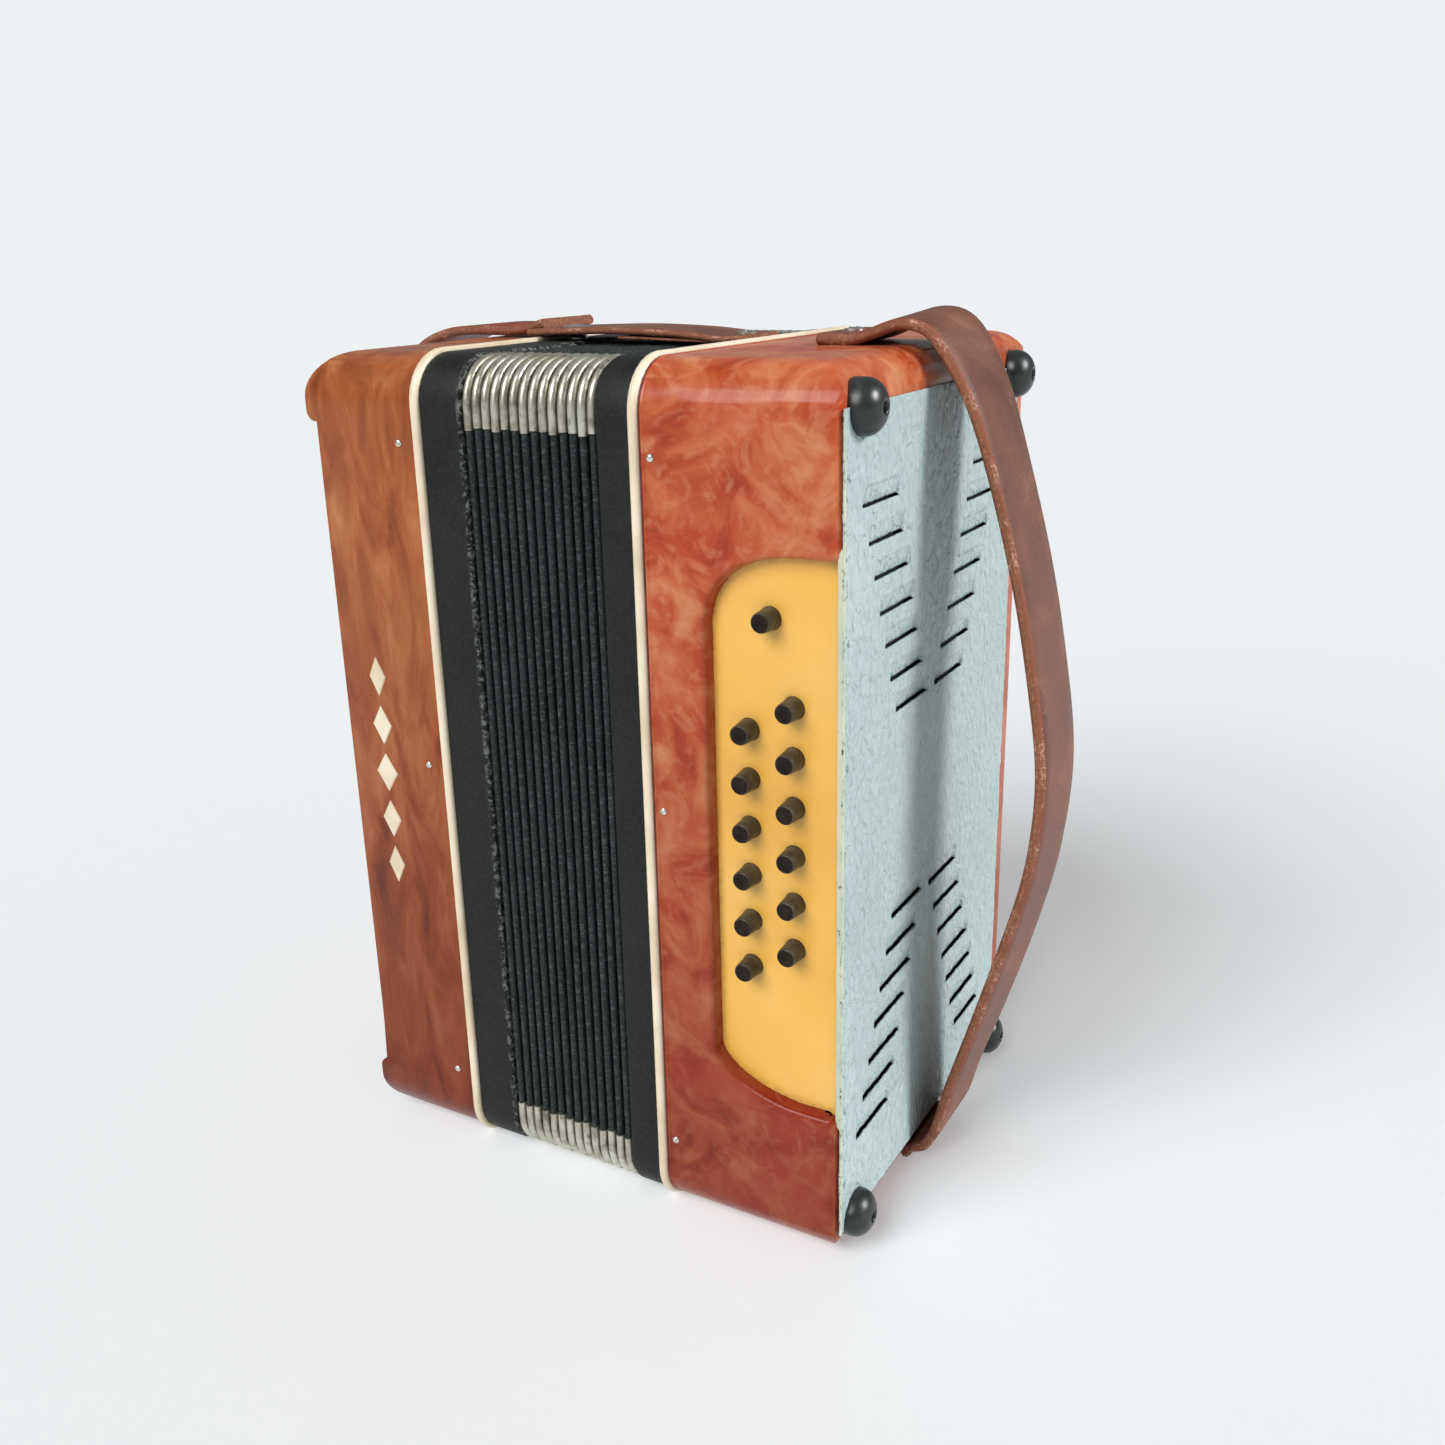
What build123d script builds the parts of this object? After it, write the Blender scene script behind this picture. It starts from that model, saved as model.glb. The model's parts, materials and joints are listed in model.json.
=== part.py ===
from build123d import *
from math import atan2, cos, degrees, hypot, radians, sin
import os

os.makedirs("parts", exist_ok=True)

# A small two-row button accordion, standing on its bottom faces.
# Frame: +Z up, +X towards the grille end of the treble casing, -Y is the front
# (button) face. The origin is the middle of the treble casing's underside.
# Depths are counted from the front face, heights from the underside.

# ---------------------------------------------------------------- driving dimensions
HEIGHT = 260.0
DEPTH = 145.0
CORNER = 14.0
WALL = 5.5

TREBLE_LENGTH = 57.5
BINDING_WIDTH = 3.0
BINDING_PROUD = 1.2
TREBLE_FRAME_LENGTH = 10.8
FOLD_COUNT = 14
FOLD_PITCH = 3.243
BASS_FRAME_LENGTH = 14.8
BASS_LENGTH = 37.8
RIB_PROUD = 3.7
FRAME_WALL = 9.0
LEAST_CORNER = 3.0

# Treble casing, its keyboard recess and its grille
END_RADIUS = 10.0
FRONT_RADIUS = 3.5
BACK_RADIUS = 6.0
RIM = 3.0
RIM_WINDOW = (10.0, 124.0)
RIM_WINDOW_HEIGHTS = (20.0, 240.0)
RECESS_DEPTH = 4.3
RECESS_LEFT = 19.5
RECESS_LOW = 50.4
RECESS_HIGH = 210.3
PLATE_THICKNESS = 2.0
PLATE_MARGIN = 3.0
GRILLE_THICKNESS = 1.0
GRILLE_DEPTHS = (1.8, 132.6)
GRILLE_HEIGHTS = (9.5, 249.2)
SLOT_LENGTH = 24.0
SLOT_HEIGHT = 1.2
DISH_HEIGHT = 5.0
DISH_DEPTH = 0.6
SLOTS_PER_ARM = 7

# Buttons: X of each column from the treble casing's inner face, heights, stroke
BUTTON_RADIUS = 3.25
BUTTON_HEAD_RADIUS = 2.8
BUTTON_CLEARANCE = 0.08
BUTTON_PROUD = 1.8
STROKE = 2.5
RIGHT_COLUMN = 42.7
LEFT_COLUMN = 29.1
AIR_COLUMN = 36.0
BUTTON_PITCH = 14.3
RIGHT_TOP = 170.6
LEFT_TOP = 162.6
AIR_HEIGHT = 194.4
ROW_COUNT = 6

# Levers, pallets and valve boards inside the casings
LEVER_THICKNESS = 2.0
LEVER_WIDTH = 3.0
AXLE_RADIUS = 1.5
AXLE_CLEARANCE = 0.05
HUB_RADIUS = 3.0
STEM_RADIUS = 1.5
TIP_RADIUS = 0.8
TIP_LENGTH = 3.0
TIP_GAP = 0.3
PALLET_WIDTH = 16.0
PALLET_HEIGHT = 9.0
PALLET_THICKNESS = 2.5
NEAR_ROW = 46.0
FAR_ROW = 80.0
TREBLE_AXLE_DEPTH = 24.0
BOARD_THICKNESS = 4.0
TREBLE_BOARD_INSET = 9.5

# Bass side
BASS_BUTTON_HEIGHTS = (150.0, 132.0, 114.0)
BASS_BUTTON_DEPTH = 22.0
BASS_BUTTON_PROUD = 5.0
BASS_AXLE_DEPTH = 34.0
BASS_AXLE_INSET = 15.3
BASS_ROW = 60.0
BASS_BOARD_INSET = 2.5

# Straps: width along Y, depth of the front edge, thickness
SHOULDER_STRAP = (30.5, 57.0, 3.2)
HAND_STRAP = (30.0, 72.5, 3.0)
CLOSING_STRAP = (27.0, 59.5, 2.0)

# Rubber feet on the grille end: depth and height of each
FOOT_RADIUS = 7.3
FOOT_PROUD = 6.3
FEET = ((11.9, 248.7), (128.6, 247.0), (11.9, 11.6), (128.2, 10.0))

# ---------------------------------------------------------------- derived places along X
TREBLE_END = TREBLE_LENGTH / 2
TREBLE_FACE = -TREBLE_LENGTH / 2
GRILLE_FACE = TREBLE_END + GRILLE_THICKNESS
RIM_FACE = TREBLE_END - RIM
TREBLE_FRAME_END = TREBLE_FACE - BINDING_WIDTH
BELLOWS_END = TREBLE_FRAME_END - TREBLE_FRAME_LENGTH
BELLOWS_START = BELLOWS_END - FOLD_COUNT * FOLD_PITCH
BASS_FRAME_START = BELLOWS_START - BASS_FRAME_LENGTH
BASS_FACE = BASS_FRAME_START - BINDING_WIDTH
BASS_END = BASS_FACE - BASS_LENGTH
RIB_END = BASS_END - RIB_PROUD
RECESS_X = TREBLE_FACE + RECESS_LEFT
PLATE_DEPTHS = (RECESS_DEPTH, RECESS_DEPTH + PLATE_THICKNESS)
TREBLE_AXLE_X = RIM_FACE - HUB_RADIUS - 0.5
TREBLE_BOARD = (TREBLE_FACE + TREBLE_BOARD_INSET, TREBLE_FACE + TREBLE_BOARD_INSET + BOARD_THICKNESS)
BASS_AXLE_X = BASS_END + BASS_AXLE_INSET
BASS_BOARD = (BASS_FACE - BASS_BOARD_INSET - BOARD_THICKNESS, BASS_FACE - BASS_BOARD_INSET)


# ---------------------------------------------------------------- helpers
def at_depth(depth):
    """Y of a place this far behind the front face."""
    return depth - DEPTH / 2


def across(x):
    """Plane square to X at mid height, with sketch x along Y and sketch y along Z."""
    return Plane(origin=(x, 0, HEIGHT / 2), x_dir=(0, 1, 0), z_dir=(1, 0, 0))


def slab(x, outer):
    """A solid slab in the casings' section between two X, outer wider all round."""
    with BuildSketch(across(x[0])) as outline:
        radius = max(CORNER + outer, LEAST_CORNER)
        RectangleRounded(DEPTH + 2 * outer, HEIGHT + 2 * outer, radius)
    return extrude(outline.sketch, amount=x[1] - x[0], mode=Mode.PRIVATE)


def block(x, depths, heights, mode=Mode.ADD):
    """A box between two X, two depths and two heights."""
    middle = (sum(x) / 2, at_depth(sum(depths) / 2), sum(heights) / 2)
    with Locations(middle):
        Box(x[1] - x[0], depths[1] - depths[0], heights[1] - heights[0], mode=mode)


def rod_x(x, depth, height, radius, mode=Mode.ADD):
    """A cylinder along X between two X."""
    with Locations(Location((sum(x) / 2, at_depth(depth), height), (0, 90, 0))):
        Cylinder(radius, x[1] - x[0], mode=mode)


def rod_y(x, depths, height, radius, mode=Mode.ADD):
    """A cylinder along Y between two depths."""
    with Locations(Location((x, at_depth(sum(depths) / 2), height), (90, 0, 0))):
        Cylinder(radius, depths[1] - depths[0], mode=mode)


def rod_z(x, depth, heights, radius, mode=Mode.ADD):
    """A cylinder along Z between two heights."""
    with Locations((x, at_depth(depth), sum(heights) / 2)):
        Cylinder(radius, heights[1] - heights[0], mode=mode)


def finish(piece, name):
    """Labels a finished piece and writes it."""
    piece.part.label = name
    export_step(piece.part, f"parts/{name}.step")


# ---------------------------------------------------------------- treble casing
def recess(grow, end_x, depths):
    """The keyboard recess as a solid, grown all round, between two depths."""
    left = RECESS_X - grow
    low = RECESS_LOW - grow
    high = RECESS_HIGH + grow
    curve_x = RECESS_X + 29.0
    with BuildSketch(Plane.XZ.offset(-at_depth(depths[0]))) as outline:
        with BuildLine():
            Line((curve_x, low), (end_x, low))
            Line((end_x, low), (end_x, high))
            Line((end_x, high), (curve_x, high))
            Bezier((curve_x, high), (left + 12, high), (left, high - 7), (left, high - 22))
            Line((left, high - 22), (left, low + 15.6))
            Bezier((left, low + 15.6), (left, low + 6.6), (left + 17, low), (curve_x, low))
        make_face()
    return extrude(outline.sketch, amount=depths[0] - depths[1], mode=Mode.PRIVATE)


with BuildPart() as treble_casing:
    add(slab((TREBLE_FACE, TREBLE_END), 0))
    # The end edges are rounded over at top, bottom and back, and barely at the front.
    with BuildSketch(Plane.XZ):
        with Locations((0, HEIGHT / 2)):
            Rectangle(TREBLE_LENGTH, HEIGHT)
        fillet(vertices().group_by(Axis.X)[-1], END_RADIUS)
    extrude(amount=DEPTH, both=True, mode=Mode.INTERSECT)
    with BuildSketch(Plane.XY):
        Rectangle(TREBLE_LENGTH, DEPTH)
        fillet(vertices().group_by(Axis.X)[-1].sort_by(Axis.Y)[0], FRONT_RADIUS)
        fillet(vertices().group_by(Axis.X)[-1].sort_by(Axis.Y)[-1], BACK_RADIUS)
    extrude(amount=HEIGHT, mode=Mode.INTERSECT)
    # Hollow inside, with a rim round the window behind the grille.
    add(slab((TREBLE_FACE, RIM_FACE), -WALL), mode=Mode.SUBTRACT)
    block((RIM_FACE, TREBLE_END), RIM_WINDOW, RIM_WINDOW_HEIGHTS, mode=Mode.SUBTRACT)
    # Keyboard recess, and the pocket that takes the plate's end.
    add(recess(0, TREBLE_END + 1, (-1, RECESS_DEPTH)), mode=Mode.SUBTRACT)
    add(recess(PLATE_MARGIN, TREBLE_END + 1, PLATE_DEPTHS), mode=Mode.SUBTRACT)
finish(treble_casing, "treble_casing")

# The air key stands alone above two columns; the left column works the far pallets.
treble_keys = [(AIR_COLUMN, AIR_HEIGHT, NEAR_ROW)]
treble_keys += [(RIGHT_COLUMN, RIGHT_TOP - row * BUTTON_PITCH, NEAR_ROW) for row in range(ROW_COUNT)]
treble_keys += [(LEFT_COLUMN, LEFT_TOP - row * BUTTON_PITCH, FAR_ROW) for row in range(ROW_COUNT)]
treble_keys = [(TREBLE_FACE + column, height, row) for column, height, row in treble_keys]

with BuildPart() as keyboard_plate:
    add(recess(PLATE_MARGIN, TREBLE_END, PLATE_DEPTHS))
    for key_x, key_z, _ in treble_keys:
        hole = (PLATE_DEPTHS[0] - 1, PLATE_DEPTHS[1] + 1)
        rod_y(key_x, hole, key_z, BUTTON_RADIUS + BUTTON_CLEARANCE, mode=Mode.SUBTRACT)
finish(keyboard_plate, "keyboard_plate")

# Four arms of slots make a V at the top of the grille and one upside down at the bottom.
# Each arm: depth and height of its first slot's front end, then the step to the next one.
SLOT_ARMS = (
    ((13.0, 223.0), (4.0, -10.25)),
    ((94.0, 223.0), (-4.6, -10.25)),
    ((37.0, 97.0), (-4.05, -10.25)),
    ((66.2, 95.7), (4.6, -10.9)),
)


def dish(depth, height):
    """The hollow above a louvre's slot, deepest at the slot, to be cut from the grille."""
    with BuildSketch(Plane.XZ.offset(-at_depth(depth))) as side:
        with BuildLine():
            Polyline(
                (GRILLE_FACE - DISH_DEPTH, height),
                (GRILLE_FACE, height + DISH_HEIGHT),
                (GRILLE_FACE + 1, height + DISH_HEIGHT),
                (GRILLE_FACE + 1, height),
                close=True,
            )
        make_face()
    return extrude(side.sketch, amount=-SLOT_LENGTH, mode=Mode.PRIVATE)


with BuildPart() as end_grille:
    block((TREBLE_END, GRILLE_FACE), GRILLE_DEPTHS, GRILLE_HEIGHTS)
    for (first_depth, first_height), (depth_step, height_step) in SLOT_ARMS:
        for slot in range(SLOTS_PER_ARM):
            slot_depth = first_depth + slot * depth_step
            slot_height = first_height + slot * height_step
            add(dish(slot_depth, slot_height + SLOT_HEIGHT), mode=Mode.SUBTRACT)
            block(
                (TREBLE_END, GRILLE_FACE),
                (slot_depth, slot_depth + SLOT_LENGTH),
                (slot_height, slot_height + SLOT_HEIGHT),
                mode=Mode.SUBTRACT,
            )
finish(end_grille, "end_grille")

NAIL_RADIUS = 1.1
NAIL_HEAD = 0.5
NAIL_LENGTH = 4.5
NAIL_HEIGHTS = (235.0, 135.5, 26.0)
PIN_DEPTH = 5.0
PIN_HEIGHTS = (26.0, 50.4, 89.5, 107.6, 155.8, 190.0, 232.0)


def casing_nails(x):
    """Round-headed nails through the casing's edge, front and back."""
    for height in NAIL_HEIGHTS:
        for depths in ((-NAIL_HEAD, NAIL_LENGTH), (DEPTH - NAIL_LENGTH, DEPTH + NAIL_HEAD)):
            rod_y(x, depths, height, NAIL_RADIUS)


with BuildPart() as treble_nails:
    casing_nails(TREBLE_FACE + 3.4)
    for pin_height in PIN_HEIGHTS:
        rod_x((GRILLE_FACE, GRILLE_FACE + 0.4), PIN_DEPTH, pin_height, NAIL_RADIUS - 0.2)
finish(treble_nails, "treble_nails")


# ---------------------------------------------------------------- bindings and bellows frames
def standing_ring(x, outer, inner):
    """A ring in the casings' section whose underside is flat with theirs."""
    add(slab(x, outer))
    add(slab(x, -inner), mode=Mode.SUBTRACT)
    block(x, (-10, DEPTH + 10), (-10, 0), mode=Mode.SUBTRACT)


with BuildPart() as treble_binding:
    standing_ring((TREBLE_FRAME_END, TREBLE_FACE), BINDING_PROUD, WALL)
finish(treble_binding, "treble_binding")

with BuildPart() as bass_binding:
    standing_ring((BASS_FACE, BASS_FRAME_START), BINDING_PROUD, WALL)
finish(bass_binding, "bass_binding")

with BuildPart() as treble_bellows_frame:
    standing_ring((BELLOWS_END, TREBLE_FRAME_END), 0, FRAME_WALL)
finish(treble_bellows_frame, "treble_bellows_frame")

with BuildPart() as bass_bellows_frame:
    standing_ring((BASS_FRAME_START, BELLOWS_START), 0, FRAME_WALL)
finish(bass_bellows_frame, "bass_bellows_frame")

# ---------------------------------------------------------------- bellows
FOLD_DEPTH = 16.0
FOLD_GAP = 0.25
CAP_THICKNESS = 0.6
CAP_INSET = 0.3
CAP_REACH = 20.0

with BuildPart() as bellows_folds:
    for fold in range(FOLD_COUNT):
        fold_start = BELLOWS_START + fold * FOLD_PITCH + FOLD_GAP / 2
        fold_span = (fold_start, fold_start + FOLD_PITCH - FOLD_GAP)
        add(slab(fold_span, -CAP_INSET - CAP_THICKNESS))
        add(slab(fold_span, 2 - FOLD_DEPTH), mode=Mode.SUBTRACT)
finish(bellows_folds, "bellows_folds")

with BuildPart() as bellows_corners:
    for fold in range(FOLD_COUNT):
        fold_start = BELLOWS_START + fold * FOLD_PITCH + FOLD_GAP / 2
        fold_span = (fold_start, fold_start + FOLD_PITCH - FOLD_GAP)
        add(slab(fold_span, -CAP_INSET))
        add(slab(fold_span, -CAP_INSET - CAP_THICKNESS), mode=Mode.SUBTRACT)
    bellows_span = (BELLOWS_START, BELLOWS_END)
    block(bellows_span, (CAP_REACH, DEPTH - CAP_REACH), (-5, HEIGHT + 5), mode=Mode.SUBTRACT)
    block(bellows_span, (-5, DEPTH + 5), (CAP_REACH, HEIGHT - CAP_REACH), mode=Mode.SUBTRACT)
finish(bellows_corners, "bellows_corners")

# ---------------------------------------------------------------- treble valve board and reeds
PALLET_HOLE = (10.0, 5.0)
REED_BLOCK_THICKNESS = 14.0
TREBLE_REED_REACH = 37.0
REED_PLATE = (1.0, 11.0)

with BuildPart() as treble_valve_board:
    add(slab(TREBLE_BOARD, -WALL))
    for _, key_z, key_row in treble_keys:
        hole_depths = (key_row - PALLET_HOLE[0] / 2, key_row + PALLET_HOLE[0] / 2)
        hole_heights = (key_z - PALLET_HOLE[1] / 2, key_z + PALLET_HOLE[1] / 2)
        block(TREBLE_BOARD, hole_depths, hole_heights, mode=Mode.SUBTRACT)
finish(treble_valve_board, "treble_valve_board")

TREBLE_REED_HEIGHTS = (AIR_HEIGHT - 110, AIR_HEIGHT - 15)
TREBLE_REED_X = (TREBLE_BOARD[0] - TREBLE_REED_REACH, TREBLE_BOARD[0])


def reed_block(x, depth, heights, cells):
    """A wooden comb on edge, with a row of air cells open towards the valve board."""
    half = REED_BLOCK_THICKNESS / 2
    block(x, (depth - half, depth + half), heights)
    pitch = (heights[1] - heights[0]) / cells
    for cell in range(cells):
        cell_z = heights[0] + (cell + 0.5) * pitch
        cell_heights = (cell_z - pitch / 2 + 1.5, cell_z + pitch / 2 - 1.5)
        block((x[0] + 3, x[1]), (depth - 4, depth + 4), cell_heights, mode=Mode.SUBTRACT)


def reed_plates(x, depth, heights, cells):
    """Reed plates on both faces of a reed block, one pair per cell."""
    half = REED_BLOCK_THICKNESS / 2
    pitch = (heights[1] - heights[0]) / cells
    for cell in range(cells):
        cell_z = heights[0] + (cell + 0.5) * pitch
        cell_heights = (cell_z - REED_PLATE[1] / 2, cell_z + REED_PLATE[1] / 2)
        for side in (-1, 1):
            inner = depth + side * half
            depths = sorted((inner, inner + side * REED_PLATE[0]))
            block((x[0] + 2, x[1] - 3), depths, cell_heights)


with BuildPart() as treble_reed_blocks:
    for reed_row in (NEAR_ROW, FAR_ROW):
        reed_block(TREBLE_REED_X, reed_row, TREBLE_REED_HEIGHTS, ROW_COUNT)
finish(treble_reed_blocks, "treble_reed_blocks")

with BuildPart() as treble_reed_plates:
    for reed_row in (NEAR_ROW, FAR_ROW):
        reed_plates(TREBLE_REED_X, reed_row, TREBLE_REED_HEIGHTS, ROW_COUNT)
finish(treble_reed_plates, "treble_reed_plates")

# ---------------------------------------------------------------- treble levers and buttons
BRACKET_THICKNESS = 3.0
BRACKET_WIDTH = 8.0
BRACKET_LOW = LEFT_TOP - (ROW_COUNT - 1) * BUTTON_PITCH - 10
BRACKET_HIGH = AIR_HEIGHT + 7

with BuildPart() as treble_lever_axle:
    rod_z(TREBLE_AXLE_X, TREBLE_AXLE_DEPTH, (BRACKET_LOW, BRACKET_HIGH), AXLE_RADIUS)
    for bracket in (BRACKET_LOW - BRACKET_THICKNESS, BRACKET_HIGH):
        block(
            (TREBLE_BOARD[1], TREBLE_AXLE_X + HUB_RADIUS),
            (TREBLE_AXLE_DEPTH - BRACKET_WIDTH / 2, TREBLE_AXLE_DEPTH + BRACKET_WIDTH / 2),
            (bracket, bracket + BRACKET_THICKNESS),
        )
finish(treble_lever_axle, "treble_lever_axle")


def bar(start, end, height, width):
    """A lever arm in the XY plane between two (X, depth) points, LEVER_THICKNESS high."""
    length = hypot(end[0] - start[0], end[1] - start[1])
    turn = degrees(atan2(end[1] - start[1], end[0] - start[0]))
    middle = ((start[0] + end[0]) / 2, at_depth((start[1] + end[1]) / 2), height)
    with Locations(Location(middle, (0, 0, turn))):
        Box(length, width, LEVER_THICKNESS)


def bore_hub(x, depth, height):
    """The hub's running bore."""
    half = LEVER_THICKNESS / 2
    span = (height - half, height + half)
    rod_z(x, depth, span, AXLE_RADIUS + AXLE_CLEARANCE, mode=Mode.SUBTRACT)


for number, (key_x, key_z, key_row) in enumerate(treble_keys, start=1):
    with BuildPart() as treble_lever:
        hub = (TREBLE_AXLE_X, TREBLE_AXLE_DEPTH)
        pallet = (TREBLE_BOARD[1] + PALLET_THICKNESS, key_row)
        rod_z(*hub, (key_z - LEVER_THICKNESS / 2, key_z + LEVER_THICKNESS / 2), HUB_RADIUS)
        bar(hub, (key_x - TIP_RADIUS - 1, TREBLE_AXLE_DEPTH), key_z, LEVER_WIDTH)
        bar(hub, pallet, key_z, LEVER_WIDTH)
        block(
            (TREBLE_BOARD[1], pallet[0]),
            (key_row - PALLET_WIDTH / 2, key_row + PALLET_WIDTH / 2),
            (key_z - PALLET_HEIGHT / 2, key_z + PALLET_HEIGHT / 2),
        )
        block((TREBLE_BOARD[1] - 5, TREBLE_BOARD[1]), (0, DEPTH), (0, HEIGHT), mode=Mode.SUBTRACT)
        bore_hub(*hub, key_z)
    finish(treble_lever, f"treble_lever_{number:02d}")

    with BuildPart() as treble_button:
        tip_end = TREBLE_AXLE_DEPTH - LEVER_WIDTH / 2 - TIP_GAP
        rod_y(key_x, (PLATE_DEPTHS[0], PLATE_DEPTHS[1] + STROKE), key_z, BUTTON_RADIUS)
        # The head tapers towards the fingertip.
        head_middle = (key_x, at_depth((PLATE_DEPTHS[0] - BUTTON_PROUD) / 2), key_z)
        with Locations(Location(head_middle, (90, 0, 0))):
            Cone(BUTTON_RADIUS, BUTTON_HEAD_RADIUS, PLATE_DEPTHS[0] + BUTTON_PROUD)
        chamfer(faces().sort_by(Axis.Y)[0].edges(), 0.4)
        rod_y(key_x, (PLATE_DEPTHS[0], tip_end - TIP_LENGTH), key_z, STEM_RADIUS)
        rod_y(key_x, (PLATE_DEPTHS[0], tip_end), key_z, TIP_RADIUS)
    finish(treble_button, f"treble_button_{number:02d}")

# ---------------------------------------------------------------- bass casing
RIB_RADIUS = 13.0
TOP_RIB = 20.0
BOTTOM_RIB = 28.0
BASS_EDGE_RADIUS = 4.0

with BuildPart() as bass_casing:
    add(slab((RIB_END, BASS_FACE), 0))
    # Side outline: the end wall is set back between a top rib and a bottom rib.
    with BuildSketch(Plane.XZ):
        with BuildLine():
            Polyline(
                (BASS_FACE, 0),
                (BASS_FACE, HEIGHT),
                (RIB_END, HEIGHT),
                (RIB_END, HEIGHT - TOP_RIB),
                (BASS_END, HEIGHT - TOP_RIB),
                (BASS_END, BOTTOM_RIB),
                (RIB_END, BOTTOM_RIB),
                (RIB_END, 0),
                close=True,
            )
        make_face()
        fillet(vertices().group_by(Axis.X)[0].group_by(Axis.Y)[0], RIB_RADIUS)
        fillet(vertices().group_by(Axis.X)[0].group_by(Axis.Y)[-1], RIB_RADIUS)
        rib_corners = vertices().filter_by_position(Axis.Y, BOTTOM_RIB - 1, HEIGHT - TOP_RIB + 1)
        fillet(rib_corners, RIB_PROUD / 2 - 0.1)
    extrude(amount=DEPTH, both=True, mode=Mode.INTERSECT)
    with BuildSketch(Plane.XY):
        with Locations(((RIB_END + BASS_FACE) / 2, 0)):
            Rectangle(BASS_FACE - RIB_END, DEPTH)
        fillet(vertices().group_by(Axis.X)[0], BASS_EDGE_RADIUS)
    extrude(amount=HEIGHT, mode=Mode.INTERSECT)
    add(slab((BASS_END + WALL, BASS_FACE), -WALL), mode=Mode.SUBTRACT)
    for button_height in BASS_BUTTON_HEIGHTS:
        span = (BASS_END - 1, BASS_END + WALL + 1)
        hole_radius = BUTTON_RADIUS + BUTTON_CLEARANCE
        rod_x(span, BASS_BUTTON_DEPTH, button_height, hole_radius, mode=Mode.SUBTRACT)
finish(bass_casing, "bass_casing")

# ---------------------------------------------------------------- bass board, reeds, levers
BASS_REED_X = (BASS_BOARD[1], BASS_BOARD[1] + 25.0)
BASS_REED_HEIGHTS = (105.0, 159.0)

with BuildPart() as bass_valve_board:
    add(slab(BASS_BOARD, -WALL))
    for button_height in BASS_BUTTON_HEIGHTS:
        block(
            BASS_BOARD,
            (BASS_ROW - PALLET_HOLE[0] / 2, BASS_ROW + PALLET_HOLE[0] / 2),
            (button_height - PALLET_HOLE[1] / 2, button_height + PALLET_HOLE[1] / 2),
            mode=Mode.SUBTRACT,
        )
finish(bass_valve_board, "bass_valve_board")

with BuildPart() as bass_reed_block:
    half = REED_BLOCK_THICKNESS / 2
    block(BASS_REED_X, (BASS_ROW - half, BASS_ROW + half), BASS_REED_HEIGHTS)
    for button_height in BASS_BUTTON_HEIGHTS:
        cell = (BASS_REED_X[0], BASS_REED_X[1] - 3)
        cell_heights = (button_height - 7, button_height + 7)
        block(cell, (BASS_ROW - 4, BASS_ROW + 4), cell_heights, mode=Mode.SUBTRACT)
finish(bass_reed_block, "bass_reed_block")

with BuildPart() as bass_reed_plates:
    for button_height in BASS_BUTTON_HEIGHTS:
        for side in (-1, 1):
            inner = BASS_ROW + side * REED_BLOCK_THICKNESS / 2
            outer = inner + side * REED_PLATE[0]
            plate_heights = (button_height - 6, button_height + 6)
            block((BASS_REED_X[0] + 3, BASS_REED_X[1] - 2), sorted((inner, outer)), plate_heights)
finish(bass_reed_plates, "bass_reed_plates")

BASS_AXLE_HEIGHTS = (BASS_BUTTON_HEIGHTS[-1] - 12, BASS_BUTTON_HEIGHTS[0] + 12)

with BuildPart() as bass_lever_axle:
    rod_z(BASS_AXLE_X, BASS_AXLE_DEPTH, BASS_AXLE_HEIGHTS, AXLE_RADIUS)
    for bracket in (BASS_AXLE_HEIGHTS[0] - BRACKET_THICKNESS, BASS_AXLE_HEIGHTS[1]):
        block(
            (BASS_AXLE_X - HUB_RADIUS, BASS_BOARD[0]),
            (BASS_AXLE_DEPTH - BRACKET_WIDTH / 2, BASS_AXLE_DEPTH + BRACKET_WIDTH / 2),
            (bracket, bracket + BRACKET_THICKNESS),
        )
finish(bass_lever_axle, "bass_lever_axle")

for number, button_height in enumerate(BASS_BUTTON_HEIGHTS, start=1):
    with BuildPart() as bass_lever:
        hub = (BASS_AXLE_X, BASS_AXLE_DEPTH)
        elbow = (BASS_AXLE_X, BASS_ROW)
        pallet_x = (BASS_BOARD[0] - PALLET_THICKNESS, BASS_BOARD[0])
        half = LEVER_THICKNESS / 2
        rod_z(*hub, (button_height - half, button_height + half), HUB_RADIUS)
        bar((BASS_AXLE_X, BASS_BUTTON_DEPTH - 2), elbow, button_height, LEVER_WIDTH)
        arm_start = (BASS_AXLE_X - LEVER_WIDTH / 2, BASS_ROW)
        bar(arm_start, (pallet_x[0], BASS_ROW), button_height, LEVER_WIDTH)
        block(
            pallet_x,
            (BASS_ROW - PALLET_WIDTH / 2, BASS_ROW + PALLET_WIDTH / 2),
            (button_height - PALLET_HEIGHT / 2, button_height + PALLET_HEIGHT / 2),
        )
        bore_hub(*hub, button_height)
    finish(bass_lever, f"bass_lever_{number}")

    with BuildPart() as bass_button:
        tip_end = BASS_AXLE_X - LEVER_WIDTH / 2 - TIP_GAP
        head = (BASS_END - BASS_BUTTON_PROUD, BASS_END + WALL + 1)
        rod_x(head, BASS_BUTTON_DEPTH, button_height, BUTTON_RADIUS)
        chamfer(faces().sort_by(Axis.X)[0].edges(), 0.5)
        rod_x((BASS_END, tip_end), BASS_BUTTON_DEPTH, button_height, TIP_RADIUS)
    finish(bass_button, f"bass_button_{number}")

# ---------------------------------------------------------------- rubber feet
FOOT_ROUNDING = 5.4
FOOT_HOLE_RADIUS = 1.8
FOOT_HOLE_DEPTH = 3.5
FOOT_SKIRT = 4.0

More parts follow.
